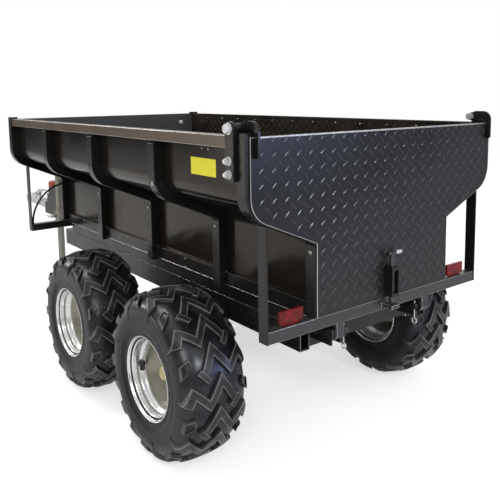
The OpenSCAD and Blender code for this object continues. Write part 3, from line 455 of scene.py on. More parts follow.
# painted steelwork
paintedSteel = {
    "radius": {"rear_bar": 0.003, "front_bar": 0.003, "bar_posts": 0.0012, "rails": 0.002,
               "chassis_beam_left": 0.004, "chassis_beam_right": 0.004, "drawbar": 0.006, "longerons": 0.004,
               "cross_members": 0.003, "cross_tubes": 0.003, "front_struts": 0.003, "hinge_arms": 0.002,
               "sills": 0.002, "corner_posts": 0.005, "ribs_left": 0.006, "ribs_right": 0.006,
               "hinge_brackets": 0.003, "gate_arms": 0.0025, "latch_guide": 0.0012, "bogie_left": 0.004,
               "bogie_right": 0.004, "bogie_collars": 0.0015, "floor_plate": 0.001, "wall_left": 0.0008,
               "wall_right": 0.0008, "front_wall": 0.0008, "gate_plate": 0.0016},
    # nodes whose rounded edges are rubbed bright, partly wear and partly a painted highlight line, and those
    # with a paint of their own
    "worn": ("rear_bar", "front_bar", "rails", "chassis_beam_left", "chassis_beam_right", "gate_plate"),
    "paint": {"gate_plate": gatePaint, "wall_left": wallPaint, "wall_right": wallPaint,
              "front_wall": frontDustAndReflectionPaint, "rails": railPaint, "rear_bar": barPaint},
}
for node, radius in paintedSteel["radius"].items():
    worn = wornEdgeAndHighlight if node in paintedSteel["worn"] else None
    roundedNode(node, paintedSteel["paint"].get(node, blackPaint), radius, worn)

# nodes that keep their shape from the CAD
dressed = [
    (blackPaint, ("lift_barrel",)),
    (zincPlate, ("pin_clips", "bracket_bolts", "pivot_bolts", "lift_stage_1", "lift_stage_2", "lift_stage_3",
                 "clamp_screw", "coupling_body", "coupling_handle")),
    (darkSteel, ("tip_pins", "latch_bolt")),
    (galvanised, ("leg_tube", "leg_clamp")),
    (plainRubber, ("oil_tank", "pump_unit", "front_hose", "rest_pads")),
    (reflectorRed, ("reflectors",)),
]
for material, names in dressed:
    for node in names:
        nodes[node].data.materials.clear()
        nodes[node].data.materials.append(material)
print("steelwork dressed")

tyre = {
    "radius": 0.279, "lugHeight": 0.014, "halfWidth": 0.119, "seat": 0.1265, "beadHalf": 0.097,
    "crown": 0.0753, "steps": 180, "pitches": 9, "phase": 130.0, "lugWidth": 0.0220, "footWidth": 0.0175,
    # power of the crown's curve, how far in the carcass lies at the side, and the room kept beside the lugs
    "power": 0.7, "inset": 0.004, "margin": 0.0010,
    # lug middle line as (offset, degrees round the tyre), from the outer shoulder inward
    "zigzag": [(-0.1040, 10.4), (-0.0870, 1.5), (-0.0410, 11.0), (0.0060, -2.8), (0.0500, 12.0)],
    "foot": [(0.0370, 15.8), (0.0640, 9.0)],
    # the foot lies over the last end of the zigzag, which is lower and shows no worn edge of its own
    "zigzagTall": 0.985, "zigzagTail": 0.0,
    # rim guard and fine rings of the side wall, as (height, place from bead to crown, breadth)
    "rings": [(0.0030, 0.24, 0.06), (0.0014, 0.52, 0.02), (0.0014, 0.66, 0.02)],
    # shoulder lugs stand out sideways: offset where that starts, distance over which it grows, and its most
    "bulge": (0.07, 0.05, 0.004),
    # faces turn away from a ring inside the rubber: its share of the radius, and half its breadth
    "core": (0.8, 0.06),
    # the tread's sheen: distance from the axle where it starts, and over which it grows to full
    "sheen": (0.205, 0.035),
}


# tyre surface at offset a: side + (radius - side) sin(acos(c))^power, where c = (|a| / halfWidth)^(1 / power)
def crownRadius(a, radius, halfWidth):
    side = tyre["radius"] - tyre["crown"]
    c = np.clip(np.abs(a) / halfWidth, 0, 1) ** (1 / tyre["power"])
    return side + (radius - side) * np.sin(np.arccos(c)) ** tyre["power"]


# carcass section from bead to bead as (radius, offset): a parabola up the side wall, then the crown's curve
def carcassProfile():
    radius, half = tyre["radius"] - tyre["lugHeight"], tyre["halfWidth"] - tyre["inset"]
    side, seat = tyre["radius"] - tyre["crown"], tyre["seat"]
    s = np.linspace(0, 1, 41)
    low = np.stack([seat + (side - seat) * s, half - (half - tyre["beadHalf"]) * (1 - s) ** 2], -1)
    for height, place, breadth in tyre["rings"]:
        low[:, 1] += height * np.exp(-((s - place) / breadth) ** 2)
    a = np.radians(np.linspace(6, 90, 20))
    rise, reach = np.sin(a) ** tyre["power"], np.cos(a) ** tyre["power"]
    outer = np.concatenate([low, np.stack([side + (radius - side) * rise, half * reach], -1)])
    return np.concatenate([outer, outer[-2::-1] * [1, -1]])


# section of a lug from foot to foot: place across it in widths, height in lug heights, and wear
lugSection = {
    "across": [-0.62, -0.555, -0.49, -0.35, 0.0, 0.35, 0.49, 0.555, 0.62],
    "height": [-0.1, 0.88, 1.0, 1.0, 0.97, 1.0, 1.0, 0.88, -0.1],
    "wear": [0.0, 0.25, 1.0, 0.08, 0.05, 0.08, 1.0, 0.25, 0.0],
    # rings that close an end: distance beyond the end in widths, greatest height, greatest and least wear
    "end": [(0.14, -0.1, 0.0, 0.0), (0.06, 0.88, 0.25, 0.25), (0.0, 1.0, 1.0, 1.0), (-0.09, 1.0, 1.0, 0.05)],
    # stations on each straight of the lug
    "split": 4,
}


# a path of (offset, degrees) as flat (offset, arc length)
def unrolled(path):
    offset, degrees = np.array(path).T
    return np.stack([offset, np.radians(degrees) * tyre["radius"]], -1)


# a lug is that section carried along its line of (offset, degrees), mitred at the corners
def lugStrips(path, width, tall=1.0, tailWear=1.0):
    corner = unrolled(path)
    split = lugSection["split"]
    share = np.arange(split)[:, None] / split
    line = np.concatenate([a + (b - a) * share for a, b in zip(corner[:-1], corner[1:])] + [corner[-1:]])
    along = np.diff(corner, axis=0)
    along /= np.linalg.norm(along, axis=1)[:, None]
    normal = np.stack([-along[:, 1], along[:, 0]], -1)
    across = np.concatenate([np.repeat(normal, split, axis=0), normal[-1:]])
    mitre = normal[:-1] + normal[1:]
    across[split:-1:split] = mitre / np.sum(mitre * normal[1:], axis=1)[:, None]
    lateral, height, wear = [np.array(lugSection[key]) for key in ("across", "height", "wear")]
    points = line[:, None, :] + across[:, None, :] * lateral[None, :, None] * width
    beyond, most, wornMost, wornLeast = np.array(lugSection["end"]).T[:, :, None]
    endHigh = np.minimum(height[None], most)
    endWear = np.clip(wear[None], wornLeast, wornMost) * (height > 0)
    head = points[:1] - along[0] * beyond[..., None] * width
    tail = points[-1:] + along[-1] * beyond[::-1, :, None] * width
    middle = np.ones((len(line) - 2, 1))
    return (np.concatenate([head, points[1:-1], tail]),
            np.concatenate([endHigh, middle * height, endHigh[::-1]]) * tall,
            np.concatenate([endWear, middle * wear, endWear[::-1] * tailWear]))


# shoulder block: a five sided kite with a raised rim round a sunk middle, as corners of (offset, degrees)
# and rings from its foot to its middle, each with its size, height and wear
kite = {
    "corners": [(-0.1090, 22.2), (-0.0840, 18.9), (-0.0790, 23.9), (-0.0940, 28.5), (-0.1110, 32.3)],
    "size": [1.02, 0.94, 0.88, 0.74, 0.66, 0.02], "height": [-0.1, 0.78, 0.92, 0.92, 0.5, 0.5],
    "wear": [0.0, 0.2, 0.6, 0.3, 0.05, 0.0], "split": 3,
}


def kiteStrips():
    corner = unrolled(kite["corners"])
    toNext = np.roll(corner, -1, axis=0) - corner
    share = np.arange(kite["split"])[None, :, None] / kite["split"]
    edge = (corner[:, None, :] + toNext[:, None, :] * share).reshape(-1, 2)
    middle = edge.mean(0)
    points = middle + (edge[:, None, :] - middle) * np.array(kite["size"])[None, :, None]
    return points, np.tile(kite["height"], (len(edge), 1)), np.tile(kite["wear"], (len(edge), 1))


# flat lug coordinates (offset, arc length) and height, wrapped onto the crown
def wrapLug(points, h, turn, flip):
    a, angle = points[..., 0] * flip, points[..., 1] / tyre["radius"] + turn
    base = crownRadius(a, tyre["radius"] - tyre["lugHeight"], tyre["halfWidth"] - tyre["inset"])
    top = crownRadius(a, tyre["radius"], tyre["halfWidth"])
    start, over, most = tyre["bulge"]
    out = np.clip((np.abs(a) - start) / over, 0, 1) * most
    r = base + (top - base) * h
    x = a + np.sign(a) * out * np.clip(h, 0, 1)
    limit = tyre["halfWidth"] - tyre["margin"]
    return np.stack([np.clip(x, -limit, limit), r * np.cos(angle), r * np.sin(angle)], -1)


def addAttribute(obj, name, values):
    layer = obj.data.attributes.new(name, "FLOAT", "POINT")
    layer.data.foreach_set("value", values.astype(np.float32))


def makeTyre(place, side):
    node = "tyre_" + place
    profile = carcassProfile()
    carcass = turnAboutX(profile, tyre["steps"], 0)
    parts = [(carcass, gridFaces(tyre["steps"], len(profile), wrapRows=True))]
    wear = [np.zeros(len(carcass))]
    zigzag = lugStrips(tyre["zigzag"], tyre["lugWidth"], tyre["zigzagTall"], tyre["zigzagTail"])
    foot = lugStrips(tyre["foot"], tyre["footWidth"])
    block = kiteStrips()
    step = 2 * np.pi / tyre["pitches"]
    for i in range(tyre["pitches"]):
        for half, flip in ((0.0, 1), (0.5, -1)):
            turn = (i + half) * step + math.radians(tyre["phase"])
            for (points, h, w), loop in ((zigzag, False), (foot, False), (block, True)):
                lug = wrapLug(points, h, turn, flip)
                parts.append((lug.reshape(-1, 3), gridFaces(*lug.shape[:2], wrapRows=loop)))
                wear.append(w.reshape(-1))
    verts, faces = joined(parts)
    verts[:, 0] *= -side
    share, breadth = tyre["core"]
    middle = verts[faces].mean(1)
    core = middle * [0, 1, 1]
    core *= share * tyre["radius"] / np.linalg.norm(core, axis=1)[:, None]
    core[:, 0] = np.clip(middle[:, 0], -breadth, breadth)
    obj = addMesh(node + "_lugged", verts + middleOf(node), faceAway(verts, faces, core), tyreRubber,
                  "wheel_" + place, 28.0)
    addAttribute(obj, "wear", np.concatenate(wear))
    # crown: nought on the side wall, one on the tread, by the distance from the axle
    start, over = tyre["sheen"]
    addAttribute(obj, "crown", np.clip((np.linalg.norm(verts[:, 1:], axis=1) - start) / over, 0, 1))
    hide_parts(node)


wheelSides = {"rear_left": -1, "rear_right": 1, "front_left": -1, "front_right": 1}
for place, side in wheelSides.items():
    makeTyre(place, side)
print("tyres made")

# rims and hubs as profiles of (radius, depth), where depth is measured inward from the outer flange
rim = {
    "width": 0.218, "steps": 144, "hubSteps": 96, "capSteps": 64,
    # seen side of the barrel from the rolled outer lip to the inner lip
    "inside": [(0.1393, 0.0042), (0.1395, 0.0020), (0.1391, 0.0007), (0.1381, 0.0001), (0.1370, 0.0004),
               (0.1360, 0.0017), (0.1352, 0.0045), (0.1343, 0.0075), (0.1325, 0.0098), (0.1295, 0.0113),
               (0.1265, 0.0122), (0.1243, 0.0142), (0.1234, 0.0172), (0.1230, 0.0245), (0.1222, 0.0262),
               (0.1222, 0.0284), (0.1230, 0.0302), (0.1227, 0.0365), (0.1212, 0.0395), (0.1165, 0.0440),
               (0.1124, 0.0478), (0.1112, 0.0505), (0.1105, 0.0550), (0.1100, 0.0660), (0.1100, 0.1410),
               (0.1122, 0.1480), (0.1212, 0.1590), (0.1228, 0.1620), (0.1230, 0.2010), (0.1243, 0.2040),
               (0.1295, 0.2068), (0.1343, 0.2105), (0.1360, 0.2163), (0.1381, 0.2179), (0.1395, 0.2160)],
    "outside": [(0.1390, 0.2120), (0.1300, 0.2068), (0.1264, 0.2050), (0.1264, 0.1620), (0.1150, 0.1480),
                (0.1150, 0.0540), (0.1264, 0.0420), (0.1264, 0.0140), (0.1300, 0.0128), (0.1380, 0.0070)],
    "disc": [(0.0385, 0.1020), (0.0385, 0.0952), (0.0470, 0.0950), (0.0660, 0.0948), (0.0700, 0.0938),
             (0.0740, 0.0908), (0.0960, 0.0690), (0.1000, 0.0650), (0.1030, 0.0612), (0.1060, 0.0585),
             (0.1085, 0.0575), (0.1110, 0.0572), (0.1110, 0.0640), (0.1060, 0.0655), (0.0720, 0.1010),
             (0.0660, 0.1028)],
    "hub": [(0.0004, 0.188), (0.0320, 0.188), (0.0320, 0.1155), (0.0755, 0.1150), (0.0760, 0.1140),
            (0.0760, 0.1032), (0.0380, 0.1032), (0.0380, 0.0920), (0.0370, 0.0895), (0.0340, 0.0888),
            (0.0262, 0.0888)],
    "cap": [(0.0262, 0.0890), (0.0262, 0.0850), (0.0245, 0.0842), (0.0243, 0.0650), (0.0236, 0.0615),
            (0.0215, 0.0585), (0.0180, 0.0568), (0.0120, 0.0561), (0.0060, 0.0560), (0.0004, 0.0560)],
}


# a turned piece of a wheel; its profile runs with the metal on the left, if radius is drawn to the right
# and depth upward
def turnedPiece(name, profile, place, material, closed, steps):
    side = wheelSides[place]
    radius, depth = np.array(profile).T
    turned = np.stack([radius, side * (rim["width"] / 2 - depth)], -1)
    verts = turnAboutX(turned, steps, middleOf("tyre_" + place))
    quads = gridFaces(steps, len(turned), wrapRows=True, wrapCols=closed)
    return addMesh(name, verts, quads[:, ::side], material, "wheel_" + place, 34.0)


# valve stems: degrees round each wheel, foot as (radius, depth), lean as (outward, away from the axle)
valve = {"turn": {"rear_left": 1.0, "front_left": 196.0, "rear_right": 210.0, "front_right": 150.0},
         "foot": (0.1165, 0.0445), "lean": (0.45, -1.0), "steps": 20,
         "stations": [(0.0125, -0.004), (0.0118, 0.008), (0.0090, 0.013), (0.0080, 0.020), (0.0092, 0.0208),
                      (0.0092, 0.040), (0.0080, 0.043), (0.0003, 0.043)]}


def makeValve(place):
    side = wheelSides[place]
    t = math.radians(valve["turn"][place])
    out = np.array([0, math.cos(t), math.sin(t)])
    foot = middleOf("tyre_" + place) + out * valve["foot"][0]
    foot[0] += side * (rim["width"] / 2 - valve["foot"][1])
    lean = np.array([side * valve["lean"][0], 0, 0]) + out * valve["lean"][1]
    verts, quads = turnAlong(foot, lean, valve["stations"], valve["steps"])
    addMesh("valve_" + place, verts, quads, plainRubber, "wheel_" + place, 40.0)


for place in wheelSides:
    rimName, hubName = "rim_" + place, "hub_" + place
    section = (rim["inside"] + rim["outside"])[::-1]
    barrel = turnedPiece(rimName + "_barrel", section, place, rimSilver, True, rim["steps"])
    turnedPiece(rimName + "_disc", rim["disc"], place, discSteel, False, rim["steps"])
    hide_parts(rimName)
    section = rim["hub"][::-1]
    hub = turnedPiece(hubName + "_turned", section, place, discSteel, False, rim["hubSteps"])
    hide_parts(hubName)
    turnedPiece(hubName + "_cap", rim["cap"][::-1], place, yellowPlate, False, rim["capSteps"])
    makeValve(place)
print("rims and hubs made")

# tread plate lugs on the tailgate and inside the side walls
tread = {
    # one '/' lug stands at start, the others a pitch apart; sizes of a lug, and the bare edge of the sheet
    "start": (-0.460, 1.024), "pitch": (0.045, 0.042), "length": 0.031, "width": 0.0058, "height": 0.0011,
    "angle": 43.0, "edge": 0.013,
    # points along and across a lug, how blunt its ends are, and how deep its foot lies in the sheet
    "rows": 7, "cols": 5, "blunt": 1.02, "sunk": 0.0001,
    # the tailgate's outline, as half width at a height; the flare's last part is this wide and this high
    "low": (0.304, 0.757), "high": (0.540, 0.859), "flare": (0.045, 0.06), "bottom": 0.545, "top": 1.074,
    "wall": (0.945, 1.066), "wallEnds": (0.03, 1.985), "wallThick": 0.003,
}


# one lug: width and height fall off along it as sqrt(blunt - s^4), and the height as a parabola across it
def lensPatch():
    s = np.linspace(-1, 1, tread["rows"])[:, None]
    c = np.linspace(-1, 1, tread["cols"])[None, :]
    taper = np.sqrt(tread["blunt"] - s ** 4)
    along = 0.5 * tread["length"] * s + 0 * c
    across = 0.5 * tread["width"] * taper * c
    lift = tread["height"] * (1 - c ** 2) * taper - tread["sunk"]
    quads = gridFaces(tread["rows"], tread["cols"])[:, ::-1]
    return np.stack([along, across, lift], -1).reshape(-1, 3), quads


# lugs at the plane points (a, b), leaning by +angle or -angle; axes holds the two plane axes and the normal
def treadField(points, signs, origin, axes):
    patch, quads = lensPatch()
    t = np.radians(tread["angle"]) * signs
    ca, sa = np.cos(t)[:, None], np.sin(t)[:, None]
    a = points[:, :1] + patch[None, :, 0] * ca - patch[None, :, 1] * sa
    b = points[:, 1:2] + patch[None, :, 0] * sa + patch[None, :, 1] * ca
    h = np.broadcast_to(patch[None, :, 2], a.shape)
    verts = origin + a[..., None] * axes[0] + b[..., None] * axes[1] + h[..., None] * axes[2]
    faces = (quads[None] + (np.arange(len(points)) * len(patch))[:, None, None]).reshape(-1, 4)
    if np.dot(np.cross(axes[0], axes[1]), axes[2]) < 0:
        faces = faces[:, ::-1]
    return verts.reshape(-1, 3), faces


# a lattice of '/' lugs through start, with one leaning the other way in the middle of every four
def treadLattice(start, low, high):
    out, signs = [], []
    for shift, sign in ((0.0, 1), (0.5, -1)):
        axes = []
        for s0, pitch, a0, a1 in zip(start, tread["pitch"], low, high):
            first = s0 + shift * pitch
            axes.append(np.arange(first - pitch * math.floor((first - a0) / pitch), a1, pitch))
        grid = np.stack(np.meshgrid(*axes), -1).reshape(-1, 2)
        out.append(grid)
        signs.append(np.full(len(grid), sign))
    return np.concatenate(out), np.concatenate(signs)


def makeGateTread():
    (x0, z0), (x1, z1), (flareWide, flareHigh) = tread["low"], tread["high"], tread["flare"]
    points, signs = treadLattice(tread["start"], (-x1, tread["bottom"]), (x1, tread["top"]))
    half = np.interp(points[:, 1], [z0, z1, z1 + flareHigh], [x0, x1 - flareWide, x1]) - tread["edge"]
    keep = np.abs(points[:, 0]) < half
    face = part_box("gate_plate")[0].y
    axes = np.array([[1.0, 0, 0], [0, 0, 1.0], [0, -1.0, 0]])
    verts, faces = treadField(points[keep], signs[keep], np.array([0, face, 0]), axes)
    # the sheet is cut through the top row of lugs
    verts[:, 2] = np.minimum(verts[:, 2], tread["top"])
    addMesh("gateTread", verts, faces, lugPaint, "tailgate", 60.0)


def makeWallTread():
    parts = []
    (y0, y1), (z0, z1) = tread["wallEnds"], tread["wall"]
    for side in (-1, 1):
        points, signs = treadLattice((rearY + y0, z0), (rearY + y0, z0), (rearY + y1, z1))
        face = side * (abs(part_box("wall_right")[1].x) - tread["wallThick"])
        axes = np.array([[0, 1.0, 0], [0, 0, 1.0], [-side, 0, 0]])
        parts.append(treadField(points, signs, np.array([face, 0, 0]), axes))
    verts, faces = joined(parts)
    addMesh("wallTread", verts, faces, gatePaint, "tub", 60.0)


makeGateTread()
makeWallTread()
print("tread plate made")

# the bogie shaft turned with fine facets and a little play in its bores, so that a rocking bogie clears it
shaft = {"play": 0.0006, "chamfer": 0.0010, "tip": 0.0003, "steps": 64}


def makeShaft():
    low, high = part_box("bogie_shaft")
    length, radius = high.x - low.x, (high.z - low.z) / 2 - shaft["play"]
    chamfer, tip = shaft["chamfer"], shaft["tip"]
    stations = [(tip, 0.0), (radius - chamfer, 0.0), (radius, chamfer), (radius, length - chamfer),
                (radius - chamfer, length), (tip, length)]
    start = np.array([low.x, (low.y + high.y) / 2, (low.z + high.z) / 2])
    verts, quads = turnAlong(start, (1.0, 0.0, 0.0), stations, shaft["steps"])
    obj = addMesh("bogieShaftTurned", verts, quads, blackPaint, bodyOf("bogie_shaft"), 40.0)
    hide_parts("bogie_shaft")


# web in the inner corner of each tailgate arm, as (distance from the rear face of the tub, height);
# it lies inside the arm's thickness, which starts "outer" in from the edge of the gate
armWeb = {"outer": 0.013, "thick": 0.008, "inset": 0.001,
          "line": [(-0.0050, 1.0745), (-0.0050, 1.0940), (0.0440, 1.0940), (0.0320, 1.0790),
                   (-0.0010, 1.0790), (-0.0010, 1.0745)]}


def makeArmWebs():
    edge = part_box("gate_plate")[1].x - armWeb["outer"]
    along, high = np.array(armWeb["line"]).T
    n = len(along)
    verts, faces = [], []
    for side in (-1, 1):
        start = len(verts) * n
        for x in sorted(side * (edge - t) for t in (armWeb["inset"], armWeb["thick"] - armWeb["inset"])):
            verts.append(np.stack([np.full(n, x), along + rearY, high], -1))
        faces.append([start + i for i in range(n)])
        faces.append([start + n + i for i in reversed(range(n))])
        for i in range(n):
            after = (i + 1) % n
            faces.append([start + i, start + n + i, start + n + after, start + after])
    addMesh("armWebs", np.concatenate(verts), faces, blackPaint, "tailgate", 30.0)


# the folded lip along the foot of each sill, and the rolled top edge of the tailgate, sunk by a share of
# its radius; both are in the bright edge metal, which paints a highlight line along them besides wear
bead = {"steps": 9,
        "sill": {"radius": 0.0013, "x": 0.2848, "z": 0.5180, "ends": (0.045, 1.990)},
        "gate": {"radius": 0.0027, "half": 0.536, "z": 1.0738, "sunk": 0.6}}


# a half round bead from one end to the other, bulging to the side it faces: end + r (cos a out + sin a up)
def halfBead(start, end, radius, out):
    a = np.radians(np.linspace(-90, 90, bead["steps"]))[None, :, None]
    along = end - start
    up = np.cross(out, along / np.linalg.norm(along))
    verts = np.stack([start, end])[:, None, :] + radius * (np.cos(a) * out + np.sin(a) * up)
    return verts.reshape(-1, 3), gridFaces(2, bead["steps"])[:, ::-1]


def makeBeads():
    foot, edge = bead["sill"], bead["gate"]
    parts = []
    for side in (-1, 1):
        start, end = [fromRear(side * foot["x"], y, foot["z"]) for y in foot["ends"]]
        parts.append(halfBead(start, end, foot["radius"], np.array([side, 0.0, 0.0])))
    verts, faces = joined(parts)
    addMesh("sillLips", verts, faces, wornEdgeAndHighlight, bodyOf("sills"), 60.0)
    sunk = edge["sunk"] * edge["radius"]
    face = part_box("gate_plate")[0].y + sunk
    lean = np.array([0.0, -math.sqrt(0.5), math.sqrt(0.5)])
    start, end = [np.array([x, face, edge["z"] - sunk]) for x in (-edge["half"], edge["half"])]
    verts, faces = halfBead(start, end, edge["radius"], lean)
    addMesh("gateTopEdge", verts, faces, wornEdgeAndHighlight, "tailgate", 60.0)


# the latch's spring, and the end of its grip, which is rubbed bright by hands
latch = {"axisY": -0.0235, "z": (0.5555, 0.6295), "turns": 11, "coil": 0.0098, "wire": 0.0014,
         "turnSteps": 20, "wireSteps": 8,
         "tip": [(0.0062, 0.0), (0.0066, 0.0015), (0.0066, 0.024), (0.0058, 0.0262), (0.0003, 0.0268)],
         "tipProud": 0.0006, "tipDrop": 0.006, "tipSteps": 20}


# a coil spring: the wire's circle carried along (coil cos t, coil sin t, rise t)
def makeLatchSpring():
    rows, cols = latch["turns"] * latch["turnSteps"] + 1, latch["wireSteps"]
    t = np.linspace(0, 2 * np.pi * latch["turns"], rows)[:, None]
    a = np.linspace(0, 2 * np.pi, cols, endpoint=False)[None, :]
    low, high = latch["z"][0] + latch["wire"], latch["z"][1] - latch["wire"]
    r = latch["coil"] + latch["wire"] * np.cos(a)
    z = low + (high - low) * t / t[-1] + latch["wire"] * np.sin(a)
    verts = np.stack([r * np.cos(t), r * np.sin(t), z], -1) + fromRear(0, latch["axisY"], 0)
    quads = gridFaces(rows, cols, wrapCols=True)
    addMesh("latchSpring", verts, quads[:, ::-1], darkSteel, bodyOf("latch_guide"), 60.0)


def makeGripTip():
    low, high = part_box("latch_bolt")
    reach = latch["tip"][-1][1]
    start = np.array([high.x - reach + latch["tipProud"], (low.y + high.y) / 2, high.z - latch["tipDrop"]])
    verts, quads = turnAlong(start, (1.0, 0.0, 0.0), latch["tip"], latch["tipSteps"])
    addMesh("latchGripTip", verts, quads, zincPlate, bodyOf("latch_bolt"), 40.0)


# stations of the motor's painted case, as (radius, height above the ground)
motor = {"y": 2.9725, "steps": 40,
         "case": [(0.0381, 0.5262), (0.0386, 0.5275), (0.0386, 0.6030), (0.0383, 0.6055), (0.0304, 0.6134),
                  (0.0003, 0.6134)]}


def makeMotorCase():
    verts, quads = turnAlong(fromRear(0, motor["y"], 0), (0.0, 0.0, 1.0), motor["case"], motor["steps"])
    addMesh("motorCase", verts, quads, motorRed, bodyOf("pump_unit"), 30.0)


# bolt and screw heads: material, steps round, and stations of (radius, height)
heads = {
    "ribBolts": (dullBolt, 20, [(0.0074, -0.0004), (0.0074, 0.0010), (0.0070, 0.0022), (0.0056, 0.0036),
                                (0.0032, 0.0044), (0.0003, 0.0046)]),
    "smallScrews": (dullBolt, 14, [(0.0040, -0.0003), (0.0040, 0.0008), (0.0034, 0.0018), (0.0018, 0.0024),
                                   (0.0002, 0.0025)]),
    "wallBolts": (zincPlate, 24, [(0.0125, -0.0003), (0.0125, 0.0018), (0.0120, 0.0022), (0.0082, 0.0022),
                                  (0.0080, 0.0060), (0.0072, 0.0076), (0.0050, 0.0084), (0.0002, 0.0086)]),
}
# rows of heads, alike on both sides: kind, distance from the middle, places along the cart, heights,
# and 1 if they face outward or -1 if they face the inside of the tub
headRows = [
    ("ribBolts", 0.307, (0.021, 0.518, 1.015, 1.512), (0.727,), 1),
    ("ribBolts", 0.552, (0.509,), (0.901,), 1),
    ("smallScrews", 0.285, (0.487, 0.984, 1.481), (0.565,), 1),
    ("smallScrews", 0.285, (0.270, 0.766, 1.263, 1.760), (0.5575, 0.524), 1),
    ("smallScrews", 0.517, (0.262,), (1.030,), 1),
    ("smallScrews", 0.517, (0.228,), (1.029,), 1),
    ("smallScrews", 0.514, 0.300 + 0.152 * np.arange(11), (1.053,), -1),
]
# the bolts on the front wall, as distance from the middle and height
frontBolts = (0.4395, 1.0258)


def makeFasteners():
    spots = {kind: [] for kind in heads}
    for side in (-1, 1):
        for kind, x, along, heights, facing in headRows:
            out = (side * facing, 0.0, 0.0)
            spots[kind] += [(fromRear(side * x, y, z), out) for y in along for z in heights]
        place = np.array([side * frontBolts[0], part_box("front_wall")[0].y, frontBolts[1]])
        spots["wallBolts"].append((place, (0.0, -1.0, 0.0)))
    for kind, (material, steps, stations) in heads.items():
        verts, faces = joined([turnAlong(place, out, stations, steps) for place, out in spots[kind]])
        addMesh(kind, verts, faces, material, "tub", 40.0)


# a blank label with rounded corners
label = {"y": (0.1905, 0.3260), "z": (0.9490, 1.0010), "x": -0.517, "thick": 0.0004, "sunk": 0.0003,
         "corner": 0.003}


def makeLabel():
    (y0, y1), (z0, z1), c = label["y"], label["z"], label["corner"]
    centres = [(y1 - c, z1 - c), (y0 + c, z1 - c), (y0 + c, z0 + c), (y1 - c, z0 + c)]
    ring = []
    for quarter, (y, z) in enumerate(centres):
        a = np.radians(90 * quarter + np.arange(0, 91, 30))
        ring.append(np.stack([y + rearY + c * np.cos(a), z + c * np.sin(a)], -1))
    ring = np.concatenate(ring)
    n = len(ring)
    front = np.column_stack([np.full(n, label["x"] - label["thick"]), ring])
    back = front + [label["thick"] + label["sunk"], 0, 0]
    faces = [list(range(n))[::-1]] + [(i, (i + 1) % n, (i + 1) % n + n, i + n) for i in range(n)]
    addMesh("blankLabel", np.concatenate([front, back]), faces, labelYellow, "tub", 30.0)


makeShaft()
makeArmWebs()
makeBeads()
makeLatchSpring()
makeGripTip()
makeMotorCase()
makeFasteners()
makeLabel()
print("fasteners and label made")

# camera at the photograph's viewpoint: angles in degrees, focal length and axis in pixels of a square picture
view = {"place": (-1.5195, -1.3192, 1.1848), "yaw": 38.0, "pitch": -7.2, "roll": -0.66, "focal": 634.65,
        "axis": (264.66, 174.52), "size": 500, "sensor": 36.0}


def makeCamera():
    yaw, pitch, roll = [math.radians(view[key]) for key in ("yaw", "pitch", "roll")]
    ahead = Vector((math.sin(yaw) * math.cos(pitch), math.cos(yaw) * math.cos(pitch), math.sin(pitch)))
    right = Vector((math.cos(yaw), -math.sin(yaw), 0))
    up = right.cross(ahead)
    right, up = right * math.cos(roll) + up * math.sin(roll), up * math.cos(roll) - right * math.sin(roll)
    data = bpy.data.cameras.new("photoCamera")
    data.sensor_width = view["sensor"]
    data.lens = view["focal"] / view["size"] * view["sensor"]
    data.shift_x = 0.5 - view["axis"][0] / view["size"]
    data.shift_y = view["axis"][1] / view["size"] - 0.5
    camera = bpy.data.objects.new("photoCamera", data)
    turn = Matrix((right, up, -ahead)).transposed().to_4x4()
    camera.matrix_world = Matrix.Translation(fromRear(*view["place"])) @ turn
    scene.collection.objects.link(camera)
    scene.camera = camera


studio = {
    "size": 60.0, "floor": 0.80, "farFloor": 0.15, "floorRough": 0.9, "ambient": 0.50,
    # glow added to the floor: everywhere for camera rays, and for reflections near the cart and in a ring
    # ahead of it; the ranges say where each of them starts and ends
    "cameraGlow": 0.60, "nearGlow": 0.14, "near": (2.5, 6.0, 1.0, 0.0), "aheadGlow": 0.10,
    "ahead": (-1.0, 2.0, 0.0, 1.0), "rise": (4.0, 6.0, 0.0, 1.0), "fall": (7.5, 12.5, 0.0, 1.0),
    # the room as reflections show it: white backdrop ahead of the camera, dimmer walls, paler ceiling
    "backdrop": (0.61, 0.78, 0.0), "backdropEdge": (0.55, 0.9, 0.0, 1.0), "wall": 0.36, "ceiling": 0.80,
    "ceilingEdge": (0.25, 0.8, 0.0, 1.0),
    # place, aim, width, height, watts and colour of each soft lamp
    "lamps": {"behindCamera": ((-2.8, -4.8, 3.4), (-0.3, -1.0, 0.5), 2.0, 1.6, 62.0, (0.96, 0.98, 1.0)),
              "overhead": ((-1.2, 0.4, 4.6), (-0.2, -0.2, 0.6), 1.5, 1.5, 40.0, (1.0, 0.97, 0.93)),
              "ahead": ((-2.6, 3.6, 2.5), (-0.3, -0.5, 0.7), 1.1, 1.1, 42.0, (1.0, 0.95, 0.88)),
              "rear": ((0.2, -5.4, 2.28), (-0.4, -1.7, 0.95), 0.6, 0.5, 44.0, (0.90, 0.95, 1.0)),
              "right": ((3.2, -4.4, 3.6), (0.0, -1.7, 0.9), 0.8, 0.8, 12.0, (0.92, 0.96, 1.0)),
              "window": ((2.7, -6.3, 1.25), (-0.5, -1.7, 1.0), 1.2, 0.8, 34.0, (0.46, 0.56, 1.0)),
              "door": ((-3.5, 1.7, 0.62), (-0.5, -1.4, 0.95), 0.8, 0.8, 7.0, (1.0, 0.97, 0.92))},
}


def grey(value):
    return (value, value, value)


# one colour for camera rays, one for reflections and transmission, and one for light between surfaces
def byRay(tree, camera, seen, lit):
    path = addNode(tree, "LightPath").outputs
    shown = mathNode(tree, "MAXIMUM", path["Is Glossy Ray"], path["Is Transmission Ray"])
    return mixColour(tree, path["Is Camera Ray"], mixColour(tree, shown, lit, seen), camera)


